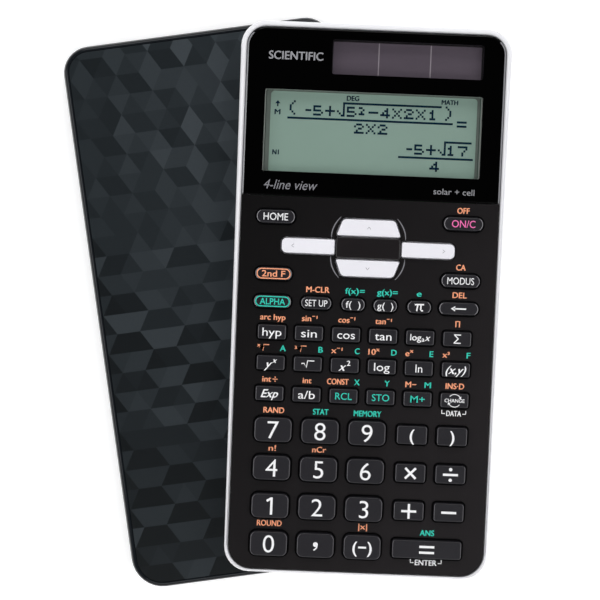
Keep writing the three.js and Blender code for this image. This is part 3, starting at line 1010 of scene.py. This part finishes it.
class Lettering:
    """Printed words and lines that become one piece, with places measured from an origin."""

    def __init__(self, name, top, body, slot, origin):
        self.name = name
        self.low = top + INK_RISE - INK_THICKNESS
        self.high = top + INK_RISE
        self.body = body
        self.slot = slot
        self.origin = origin
        self.shape = Shape()

    def write(self, text, x, y, cap, wide=1.0, bold=0.0, heavy=0.0, slant=0.0, align=0.5,
              width=None):
        """Words whose capitals are cap tall, with the middle of their height at y.

        bold swells the strokes by a share of cap. heavy prints small words twice, that far apart.
        align is the share of the words that lies left of x. width stretches them to a length.
        """
        mesh = text_mesh(text, cap / FONT_CAP, bold * cap, slant)
        xs = [vertex.co.x for vertex in mesh.vertices]
        left, right = min(xs), max(xs)
        if width:
            wide = (width - heavy) / (right - left)
        for side in ((-0.5, 0.5) if heavy else (0,)):
            start = len(self.shape.points)
            for vertex in mesh.vertices:
                across = (vertex.co.x - left - (right - left) * align) * wide
                z = self.high if vertex.co.z > 0 else self.low
                self.shape.points.append((
                    x + across + side * heavy,
                    y + vertex.co.y - cap / 2 + side * heavy * 0.6,
                    z + side * LAYER,
                ))
            for polygon in mesh.polygons:
                self.shape.face([start + index for index in polygon.vertices])
        bpy.data.meshes.remove(mesh)

    def ring(self, outer, line):
        """A printed line of even width inside an outline."""
        inner = widened(outer, -line)
        self.shape.hoop([
            (outer, self.low), (outer, self.high), (inner, self.high), (inner, self.low),
        ])

    def solid(self, outline):
        """A printed patch inside one outline."""
        self.shape.solid([(outline, self.low), (outline, self.high)])

    def stroke(self, points, width):
        """A printed line of even width along points."""
        right = []
        left = []
        for index, point in enumerate(points):
            before = Vector(points[max(index - 1, 0)])
            after = Vector(points[min(index + 1, len(points) - 1)])
            along = (after - before).normalized()
            offset = Vector((along.y, -along.x)) * width / 2
            right.append(Vector(point) + offset)
            left.append(Vector(point) - offset)
        self.solid(right + left[::-1])

    def bar(self, x, y, reach, line):
        self.stroke([(x - reach, y), (x + reach, y)], line)

    def divide(self, x, y, reach, line, rise, dot):
        """A division sign: a bar with a dot above and below it."""
        self.bar(x, y, reach, line)
        for side in (-1, 1):
            self.solid(circle((x, y + side * rise), dot, 16))

    def root(self, x, y, width, height, line):
        """A root sign with its bar, centred at x, y."""
        self.stroke([(x + width * right, y + height * up) for right, up in ROOT_SIGN], line)

    def make(self, ink=INKS["white"]):
        right, up = self.origin
        self.shape.points = [(x + right, y + up, z) for x, y, z in self.shape.points]
        add_piece(self.shape, self.name, [ink], self.body, self.slot)


def key_print(name, slot="black_key"):
    """An empty print on a key's top, with places measured from the key's centre, y up."""
    key = KEYS[name]
    return Lettering(f"print_{name}", key.top, key.node, slot, key.centre[:2])


def face_print(name, slot, top=FACE):
    """An empty print on the face, with places measured from the panel's top left corner, y up."""
    return Lettering(name, top, "housing", slot, on_face(0, 0))


# The root sign's corners from its centre, as shares of its width and height.
ROOT_SIGN = ((-0.5, 0.05), (-0.3, 0.12), (-0.1, -0.48), (-0.02, 0.48), (0.5, 0.48))
# Plain legends: the key, its words, the height of a capital, boldness, a width or None, and
# the ink where it is not white.
LEGENDS = (
    ("home", "HOME", 2.1, 0.004, 7.3), ("on_clear", "ON/C", 2.1, 0.006, 7.0, "pink"),
    ("mode", "MODUS", 2.0, 0.004, 8.0), ("setup", "SET UP", 1.9, 0.004, 6.6),
    ("f_of", "f(  )", 1.9, 0.006, 4.4), ("g_of", "g(  )", 1.9, 0.006, 4.8),
    ("hyp", "hyp", 2.35, 0.004, 5.7), ("sin", "sin", 2.35, 0.004, 4.7),
    ("cos", "cos", 2.35, 0.004, 5.3), ("tan", "tan", 2.35, 0.004, 5.0),
    ("sum", "Σ", 2.6, 0.004, None), ("log", "log", 2.35, 0.004, 4.7),
    ("ln", "ln", 2.35, 0.004, None), ("fraction", "a/b", 2.35, 0.004, 5.0),
    ("recall", "RCL", 2.0, 0.006, 5.0, "teal"), ("store", "STO", 2.0, 0.006, 5.2, "teal"),
    ("memory_plus", "M+", 2.0, 0.006, 4.3, "teal"),
    ("open", "(", 3.2, 0.03, None), ("close", ")", 3.2, 0.03, None),
)
DIGIT = {"cap": 5.2, "wide": 1.03, "bold": -0.006}
# The figure one: a stem with a flag, anticlockwise round its own centre.
ONE = ((0.05, -2.6), (0.75, -2.6), (0.75, 2.6), (0.15, 2.6), (-1.2, 1.8), (-0.9, 1.2), (0.05, 1.75))
# Signs made of level bars, by their heights above the key's centre, and of crosses, by their turn.
BAR_SIGNS = {"minus": (0.0,), "equals": (-0.87, 0.87)}
CROSS_SIGNS = {"plus": 0.0, "times": math.pi / 4}
SIGN_REACH = 2.25
SIGN_WIDTH = 0.7
DIVIDE = {"rise": 1.6, "dot": 0.52}
# Words inside a printed ring: the key, the words, the ink, the ring's width and the words'.
RINGED = (("second", "2nd F", "orange", 10.1, 7.0), ("alpha", "ALPHA", "teal", 10.3, 7.6))
RING = {"height": 3.2, "line": 0.32, "cap": 1.8, "bold": 0.02}
# Slanting letters: each one's text, place and height. The small figure two stands upright.
ITALICS = {
    "power": (("y", -0.75, -0.35, 2.4), ("x", 1.15, 0.75, 1.5)),
    "square": (("x", -0.7, -0.35, 2.4), ("2", 1.1, 0.75, 1.45)),
    "exp": (("Exp", 0.0, 0.0, 2.35),),
    "pair": (("(x,y)", 0.0, 0.0, 2.35),),
}
ITALIC = {"heavy": 0.14, "slant": 0.35}
# Legends drawn with strokes, by the strokes' points.
DRAWN = {
    "pi": (((-1.35, 0.75), (1.4, 0.85)), ((-0.45, 0.8), (-0.75, -1.15)),
           ((0.5, 0.8), (0.45, -0.75), (0.75, -1.05), (1.15, -0.95))),
    "backspace": (((-1.6, 0.0), (2.2, 0.0)),),
}
DRAWN_LINE = 0.42
BACKSPACE_HEAD = ((-2.4, 0.0), (-1.1, -0.8), (-1.1, 0.8))
POINT_TAIL = ((0.5, 0.3), (0.4, -0.5), (0.05, -1.0), (-0.5, -1.4))
CHANGE = {"radius": 1.9, "line": 0.22, "first": 34, "step": 9, "points": 13}
CHANGE_HEAD = (Vector((-0.5, 0.0)), Vector((0.0, -0.6)), Vector((0.5, 0.0)))
CHEVRONS = {
    "cursor_up": (0, 1), "cursor_down": (0, -1), "cursor_left": (-1, 0), "cursor_right": (1, 0),
}
CHEVRON = {"shift": 4.6, "depth": 0.35, "reach": 0.5, "line": 0.14}


def print_plain_legends():
    for name, text, cap, bold, width, *ink in LEGENDS:
        letters = key_print(name)
        letters.write(text, 0, 0, cap, bold=bold, width=width)
        letters.make(INKS[ink[0] if ink else "white"])


def print_digits():
    for digit in "0123456789":
        letters = key_print(digit)
        if digit == "1":
            letters.solid(ONE)
        else:
            letters.write(digit, 0, 0, **DIGIT)
        letters.make()


def print_signs():
    for name, heights in BAR_SIGNS.items():
        letters = key_print(name)
        for up in heights:
            letters.bar(0, up, SIGN_REACH, SIGN_WIDTH)
        letters.make()
    letters = key_print("divide")
    letters.divide(0, 0, SIGN_REACH, SIGN_WIDTH, **DIVIDE)
    letters.make()
    for name, turn in CROSS_SIGNS.items():
        letters = key_print(name)
        cross = cross_outline(Vector((0, 0)), SIGN_REACH, SIGN_WIDTH / 2)
        letters.solid(placed(cross, (0, 0), turn))
        letters.make()


def print_ringed_words():
    for name, text, ink, ring_width, width in RINGED:
        letters = key_print(name)
        height = RING["height"]
        letters.ring(centred_box(ring_width, height, height / 2 - 0.05), RING["line"])
        letters.write(text, 0, 0, RING["cap"], bold=RING["bold"], width=width)
        letters.make(INKS[ink])


def print_italics():
    for name, pieces in ITALICS.items():
        letters = key_print(name)
        for text, x, y, cap in pieces:
            slant = 0.0 if text == "2" else ITALIC["slant"]
            letters.write(text, x, y, cap, heavy=ITALIC["heavy"], slant=slant)
        letters.make()


def print_drawn_legends():
    for name, strokes in DRAWN.items():
        letters = key_print(name)
        for layer, points in enumerate(strokes):
            letters.high += LAYER * layer
            letters.stroke(points, DRAWN_LINE)
        if name == "backspace":
            letters.solid(BACKSPACE_HEAD)
        letters.make()


def print_root_and_log_base():
    letters = key_print("root")
    letters.root(0, 0, 3.8, 2.1, 0.32)
    letters.make()

    letters = key_print("log_base")
    letters.write("log", -1.35, 0.1, 1.85, heavy=0.08, width=3.3)
    letters.write("a", 0.85, -0.4, 1.4, heavy=0.08)
    letters.write("x", 2.2, 0.1, 1.85, heavy=0.1, slant=0.3)
    letters.make()


def print_change():
    """Two arrows that run round the word."""
    letters = key_print("change")
    for start in (0.0, math.pi):
        angles = [
            start + math.radians(CHANGE["first"] + CHANGE["step"] * point)
            for point in range(CHANGE["points"])
        ]
        arc = [direction(angle) * CHANGE["radius"] for angle in angles]
        letters.stroke(arc, CHANGE["line"])
        letters.solid(placed(CHANGE_HEAD, arc[0], angles[0]))
    letters.high += LAYER
    letters.write("CHANGE", 0, 0, 1.05, heavy=0.06, width=6.0)
    letters.make()


def print_point_and_sign():
    letters = key_print("point")
    letters.solid(circle((0, 0.35), 0.72, 20))
    letters.high += LAYER
    letters.stroke(POINT_TAIL, DRAWN_LINE)
    letters.make()

    letters = key_print("sign")
    letters.write("(", -2.2, 0, 3.2, bold=0.03)
    letters.write(")", 2.2, 0, 3.2, bold=0.03)
    letters.bar(0, 0, 1.2, 0.6)
    letters.make()


def print_chevrons():
    for name, (right, up) in CHEVRONS.items():
        letters = key_print(name, "white_key")
        centre = Vector((right * CHEVRON["shift"], 0))
        along = Vector((right, up)) * CHEVRON["depth"]
        across = Vector((up, right)) * CHEVRON["reach"]
        letters.stroke([centre - along + across, centre + along, centre - along - across],
                       CHEVRON["line"])
        letters.make(INKS["grey"])


# Labels printed on the panel, by ink and by distance down the face: the words, x, their width,
# and which share of them lies left of x, where they are not centred on it.
LABELS = {
    "orange": {
        52.2: (("OFF", 66.2, 3.7),),
        69.1: (("CA", 66.2, 2.9),),
        77.4: (("M-CLR", 23.8, 7.0), ("DEL", 66.2, 4.3)),
        86.1: (("arc hyp", 10.7, 7.6), ("sin⁻¹", 21.7, 4.7), ("cos⁻¹", 32.8, 5.1),
               ("tan⁻¹", 43.8, 5.0), ("Π", 66.0, 1.4)),
        95.35: (("x⁻¹", 28.6, 3.4, 0), ("10ˣ", 39.7, 3.4, 0), ("eˣ", 50.8, 2.4, 0),
                ("x³", 61.9, 2.2, 0)),
        104.7: (("int", 9.6, 2.7), ("int", 21.7, 2.7), ("CONST", 30.9, 6.5),
                ("M−", 51.2, 3.3, 0), ("INS·D", 66.0, 5.6)),
        114.0: (("RAND", 12.1, 6.3),),
        125.4: (("n!", 12.1, 2.3), ("nCr", 26.15, 4.2)),
        148.1: (("ROUND", 12.1, 7.5), ("|x|", 40.2, 2.7)),
    },
    "teal": {
        77.4: (("f(x)=", 34.9, 5.9), ("g(x)=", 44.6, 6.2), ("e", 54.1, 1.5)),
        95.35: (("A", 14.9, 1.8, 1), ("B", 26.0, 1.4, 1), ("C", 37.0, 1.5, 1),
                ("D", 48.1, 1.7, 1), ("E", 59.1, 1.2, 1), ("F", 70.2, 1.2, 1)),
        104.7: (("X", 37.4, 1.7, 1), ("Y", 46.4, 1.6, 1), ("M", 58.8, 2.0, 1)),
        114.0: (("STAT", 26.15, 4.7), ("MEMORY", 40.2, 8.3)),
        149.3: (("ANS", 59.6, 4.4),),
    },
}
LABEL = {"cap": 1.68, "heavy": 0.13}
# Root labels: the small figure before the sign, and the places of its left end.
ROOT_LABELS = (("ˣ", 6.4, -95.35), ("³", 17.6, -95.35))
DIVIDE_LABEL = {"x": 12.1, "y": -104.7, "reach": 0.75, "line": 0.26, "rise": 0.6, "dot": 0.2}
# White labels between two small corners: the words, their place and width.
CORNERED = (("DATA", 66.0, -112.9, 4.5), ("ENTER", 59.6, -158.3, 6.6))
# Flags on the display: the words, their place, height and width.
FLAGS = (
    ("DEG", 32.0, -19.95, 1.4, 3.8), ("MATH", 61.0, -20.0, 1.35, 5.0),
    ("M", 9.6, -24.8, 1.5, 1.8), ("N1", 9.5, -36.8, 1.45, 2.0),
)
FLAG_ARROW = ((8.8, -22.3), (10.4, -22.3), (9.6, -21.35))
FLAG_STEM = ((9.6, -22.2), (9.6, -23.2))


def print_coloured_labels():
    for ink, rows in LABELS.items():
        letters = face_print(f"labels_{ink}", "black_panel")
        for y, labels in rows.items():
            for text, x, width, *share in labels:
                align = share[0] if share else 0.5
                letters.write(text, x, -y, align=align, width=width, **LABEL)
        if ink == "orange":
            for text, x, y in ROOT_LABELS:
                letters.write(text, x, y, LABEL["cap"], heavy=0.12, align=0.0)
                letters.root(x + 2.0, y, 3.0, 1.9, 0.33)
            letters.divide(**DIVIDE_LABEL)
        letters.make(INKS[ink])


def print_white_labels():
    letters = face_print("labels_white", "black_panel")
    for text, x, y, width in CORNERED:
        letters.write(text, x, y, 1.6, heavy=0.12, width=width)
        for side in (-1, 1):
            edge = x + side * (width / 2 + 1.35)
            inner = x + side * (width / 2 + 0.35)
            letters.stroke([(edge, y + 0.95), (edge, y - 0.1), (inner, y - 0.1)], 0.28)
    letters.make()


def print_window_words():
    letters = face_print("labels_window", "window")
    letters.write("SCIENTIFIC", 14.5, -8.25, 2.35, heavy=0.14, width=16.2)
    letters.write("solar + cell", 63.1, -46.7, 1.75, width=12.2)
    letters.make(INKS["silver"])

    letters = face_print("label_display", "window")
    letters.write("4-line view", 14.4, -46.5, 2.75, slant=0.3, width=16.0)
    letters.make(INKS["grey"])


def print_display_flags():
    letters = face_print("lcd_flags", "display", LCD_TOP)
    for text, x, y, cap, width in FLAGS:
        letters.write(text, x, y, cap, heavy=0.17, width=width)
    letters.solid(FLAG_ARROW)
    letters.high += LAYER
    letters.stroke(FLAG_STEM, 0.4)
    letters.make(LCD_DOT)


# ---- inside the case ----

def dress_inner_parts():
    """The board, the key mat and the button cell keep their shapes and get finer finishes."""
    for node, material in (
            ("main_board", BOARD_GREEN), ("key_mat", MAT_RUBBER), ("button_cell", CELL_STEEL)):
        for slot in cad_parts[node].material_slots:
            slot.material = material


# ---- slide-on cover ----

COVER = {"length": 169.4, "width": 83.6, "top_radius": 8.6, "bottom_radius": 10.2}
COVER_TURN = math.radians(9.95)
COVER_CENTRE = CENTRE + Vector((-40.7, -3.2))
COVER_TRIM = 0.08  # keeps the finely rounded corners inside the frame's box
MOUTH_TRIM = 0.35  # how far the face's lip stands back at the open end
# The cover's outer side from its rim up to its face: height and inset.
COVER_SIDE = (
    (0.0, 0.12), (0.12, 0.0), (1.5, 0.01), (3.0, 0.03), (4.4, 0.1), (5.4, 0.19), (6.5, 0.33),
    (7.4, 0.51), (8.0, 0.69), (8.5, 0.93), (8.82, 1.18), (9.02, 1.46), (9.1, 1.75),
)
COVER_RIM_END = 2.0  # how far in from the side the rim round the patterned face ends
COVER_GROOVE_WIDTH = 0.34  # the gap between that rim and the patterned face
INLAY_DEPTH = 0.35  # how deep the hollow for the patterned face is
INLAY_DROP = 0.03  # how far the patterned face lies below the rim
INLAY_THICKNESS = 0.3
MOUTH = {"half_width": 40.65, "end_wall": 1.1, "radius": COVER["top_radius"] - 1.2, "overrun": 1}
# The room inside the cover, from below its rim up to the face's underside: height and inset.
COVER_ROOM = ((-1, 0), (4.6, 0), (5.6, 0.15), (6.5, 0.4), (7.3, 0.8), (7.9, 1.5))
# The inward rails: their inner edge, height and last place, how far from the open end they
# start, how far they reach into the wall, and the chamfer under them.
RAIL = {"inner": 38.4, "top": 0.8, "end": 73.0, "start_gap": 7.7, "overlap": 0.3, "chamfer": 0.1}
LIP = 0.18  # the chamfer at the edge of the face's hollow


def in_cover(outline):
    return placed(outline, COVER_CENTRE, COVER_TURN)


def cover_outline(inset):
    half = COVER["length"] / 2
    return tapered(COVER["width"], COVER["width"], half, MOUTH_TRIM - half,
                   COVER["top_radius"], COVER["bottom_radius"], inset + COVER_TRIM)


def make_cover_shell():
    face = COVER_RIM_END + LIP
    layers = [(inset, z) for z, inset in COVER_SIDE]
    layers += [(COVER_RIM_END, COVER_TOP), (face, COVER_TOP - LIP), (face, COVER_TOP - INLAY_DEPTH)]
    shape = Shape()
    shape.solid([(in_cover(cover_outline(inset)), z) for inset, z in layers])
    shell = make_piece(shape, "cover_shell", [COVER_SHELL])

    half = MOUTH["half_width"]
    end = COVER["length"] / 2 - MOUTH["end_wall"]
    mouth = -COVER["length"] / 2 - MOUTH["overrun"]
    radius = MOUTH["radius"]
    hollow = Shape()
    hollow.solid([
        (in_cover(box_outline(inset - half, half - inset, mouth, end - inset, 0.2, radius)), z)
        for z, inset in COVER_ROOM
    ])
    carve(shell, make_piece(hollow, "room", [COVER_SHELL]))
    fix(shell, "slide_cover", "cover", "slide_cover")


def make_cover_rails():
    shape = Shape()
    start = -COVER["length"] / 2 + RAIL["start_gap"]
    outer = MOUTH["half_width"] + RAIL["overlap"]
    for left, right in ((-outer, -RAIL["inner"]), (RAIL["inner"], outer)):
        outline = box_outline(left, right, start, RAIL["end"], 0.5)
        shape.solid([
            (in_cover(widened(outline, -RAIL["chamfer"])), 0),
            (in_cover(outline), RAIL["chamfer"]),
            (in_cover(outline), RAIL["top"]),
        ])
    add_piece(shape, "cover_rails", [COVER_SHELL], "slide_cover", "cover")


def clipped(polygon, outline):
    """The part of a polygon inside a convex anticlockwise outline."""
    for index, start in enumerate(outline):
        end = outline[(index + 1) % len(outline)]
        edge = end - start
        sides = [edge.cross(point - start) for point in polygon]
        kept = []
        for here, point in enumerate(polygon):
            ahead = (here + 1) % len(polygon)
            if sides[here] >= 0:
                kept.append(point)
            if (sides[here] > 0) != (sides[ahead] > 0) and sides[here] != sides[ahead]:
                share = sides[here] / (sides[here] - sides[ahead])
                kept.append(point.lerp(polygon[ahead], share))
        polygon = kept
        if len(polygon) < 3:
            return []
    return polygon


def thicken(mesh, depth):
    """Joins a sheet's faces and gives it a thickness downwards, in metres."""
    sheet = bmesh.new()
    sheet.from_mesh(mesh)
    bmesh.ops.remove_doubles(sheet, verts=sheet.verts, dist=2e-6)
    grown = bmesh.ops.extrude_face_region(sheet, geom=sheet.faces[:], use_keep_orig=True)
    moved = [item for item in grown["geom"] if isinstance(item, bmesh.types.BMVert)]
    bmesh.ops.translate(sheet, verts=moved, vec=(0, 0, -depth))
    sheet.to_mesh(mesh)
    sheet.free()


TRIANGLE_SIDE = 6.95
TRIANGLE_ROW = TRIANGLE_SIDE * math.sqrt(3) / 2
BAND_SHARE = 0.6  # the share of the face, from the number end, that has bands
PATTERN_SHIFT = Vector((-0.9, -3.7))  # where the pattern starts, from the cover's corner


def triangle_group(row, place, banded):
    """The rhombus or trapezoid that a triangle belongs to, as (kind, row, place)."""
    step = (place - 3 * row) % 6
    start = place - step
    if banded:
        return ("dark band", row, start) if step < 3 else ("light band", row, start)
    if step in (0, 3):
        return ("upright", row + step // 3, place)
    return ("left leaning", row, start) if step < 3 else ("right leaning", row, start)


# How much lighter or darker than the middle shade each kind is.
GROUP_SHADES = {
    "upright": 2.4, "left leaning": -1.8, "right leaning": -0.4, "light band": 1.2, "dark band": -1.6,
}


def triangle_shade(row, place, rows, places, drawn, chance):
    """Upright rhombi near the display end give way to bands near the number end.

    drawn remembers how far each rhombus or band strays from its kind's own shade. The rhombi
    stand out more towards the right, and the whole pattern darkens towards the number end.
    """
    banded = row < rows * BAND_SHARE + 1.2 * math.sin(place * 0.9)
    group = triangle_group(row, place, banded)
    if group not in drawn:
        drawn[group] = chance.gauss(0, 0.85)
    up = row / rows
    across = place / places
    contrast = 2.4 - 2.2 * up if banded else 0.4 + 6.0 * across * (up - 0.5)
    middle = 9.0 * (1 - math.exp(-3.5 * up)) - 2.3 + 5.4 * across + 2.6 * (across - 0.75) * up
    level = middle + contrast * (GROUP_SHADES[group[0]] + drawn[group]) + chance.gauss(0, 0.3)
    return max(0, min(SHADE_COUNT - 1, round(level)))


def make_cover_inlay():
    """The patterned face: a sheet of shaded triangles, cut to the face's outline."""
    outline = cover_outline(COVER_RIM_END + COVER_GROOVE_WIDTH)
    start = PATTERN_SHIFT - Vector((COVER["width"], COVER["length"])) / 2
    rows = math.ceil(COVER["length"] / TRIANGLE_ROW) + 1
    places = math.ceil(COVER["width"] / TRIANGLE_SIDE) * 2 + 4
    chance = random.Random(11)
    drawn = {}
    shape = Shape()
    for row in range(rows):
        low = start.y + row * TRIANGLE_ROW
        high = low + TRIANGLE_ROW
        for place in range(places):
            x = start.x + (place - 2) * TRIANGLE_SIDE / 2
            level = triangle_shade(row, place, rows, places, drawn, chance)
            if (place + row) % 2 == 0:
                corners = ((x, low), (x + TRIANGLE_SIDE, low), (x + TRIANGLE_SIDE / 2, high))
            else:
                corners = ((x, high), (x + TRIANGLE_SIDE / 2, low), (x + TRIANGLE_SIDE, high))
            polygon = clipped([Vector(corner) for corner in corners], outline)
            if polygon:
                shape.face(shape.ring(in_cover(polygon), COVER_TOP - INLAY_DROP), level)
    mesh = mesh_of(shape, "cover_inlay")
    thicken(mesh, INLAY_THICKNESS * MM)
    finish_mesh(mesh, COVER_SHADES, sharp=20)
    fix(link(mesh, "cover_inlay"), "slide_cover", "cover")


# ---- stage ----

VIEW_DISTANCE = 480
VIEW_AIM = Vector((CENTRE.x - 19.81, CENTRE.y - 0.11, FACE))
VIEW_LEAN = (math.radians(-0.38), math.radians(2.61))
VIEW_ROLL = math.radians(2.33)
LENS = 96.43
FLOOR_REACH = 3000
# The lights: name, place, width and height in metres, and power in watts.
SOFTBOXES = (
    ("light_right", (0.9, -0.15, 1.2), 0.8, 0.9, 6.2),
    ("light_left", (-1.0, -0.1, 1.0), 0.7, 0.9, 5.4),
    ("light_near", (0.1, -0.9, 1.25), 1.0, 0.6, 5.0),
    ("light_far", (0.0, 1.05, 0.85), 1.0, 0.6, 6.6),
)


def make_camera():
    lens = bpy.data.cameras.new("camera")
    lens.lens = LENS
    lens.sensor_width = 36
    lens.clip_start = 0.01
    camera = link(lens, "camera")
    backward = Vector((math.sin(VIEW_LEAN[0]), math.sin(VIEW_LEAN[1]), 0))
    backward.z = math.sqrt(1 - backward.x ** 2 - backward.y ** 2)
    right = Vector((-math.sin(VIEW_ROLL), math.cos(VIEW_ROLL), 0)).cross(backward).normalized()
    up = backward.cross(right)
    turn = Matrix((right, up, backward)).transposed()
    place = (VIEW_AIM + backward * VIEW_DISTANCE) * MM
    camera.matrix_world = Matrix.Translation(place) @ turn.to_4x4()
    bpy.context.scene.camera = camera


def make_softbox(name, place, width, height, power):
    """An area light that faces the object."""
    light = bpy.data.lights.new(name, "AREA")
    light.shape = "RECTANGLE"
    light.size = width
    light.size_y = height
    light.energy = power
    lamp = link(light, name)
    lamp.location = place
    lamp.rotation_euler = (-Vector(place)).to_track_quat("-Z", "Y").to_euler()


def make_floor():
    shape = Shape()
    shape.block(-FLOOR_REACH, FLOOR_REACH, -FLOOR_REACH, FLOOR_REACH, -20, 0)
    finish = surface("floor", shade(250, 250, 250), 0.7, variation=0.01, patch=3, grain=900,
                     relief=0.05, specular=0.1)
    set_finish(finish, Emission_Color=(1, 1, 1, 1), Emission_Strength=0.4)
    make_piece(shape, "floor", [finish])


def make_sky():
    """Pale near the horizon and dim overhead, so level gloss stays dark."""
    world = bpy.data.worlds.new("studio")
    world.use_nodes = True
    tree = world.node_tree
    where = add_node(tree, "TexCoord", "Generated")
    height = add_node(tree, "SeparateXYZ", "Z", Vector=where)
    sky = add_ramp(tree, height, (0.35, (0.6, 0.6, 0.61, 1)), (0.75, (0.06, 0.06, 0.065, 1)))
    set_inputs(tree, tree.nodes["Background"], Color=sky)
    bpy.context.scene.world = world


def make_stage():
    make_camera()
    make_floor()
    make_sky()
    for light in SOFTBOXES:
        make_softbox(*light)
    bpy.context.scene.view_settings.view_transform = "Standard"


# ---- everything ----

make_stage()
make_rear_shell()
make_screws()
make_feet()
make_key_panel()
make_pad_centre()
make_pad_arcs()
make_window()
make_lenses()
make_display_bezel()
make_lcd()
make_lcd_dots()
make_solar_cell()
for each_key in KEYS.values():
    make_key_cap(each_key)
print_plain_legends()
print_digits()
print_signs()
print_ringed_words()
print_italics()
print_drawn_legends()
print_root_and_log_base()
print_change()
print_point_and_sign()
print_chevrons()
print_coloured_labels()
print_white_labels()
print_window_words()
print_display_flags()
dress_inner_parts()
make_cover_shell()
make_cover_rails()
make_cover_inlay()
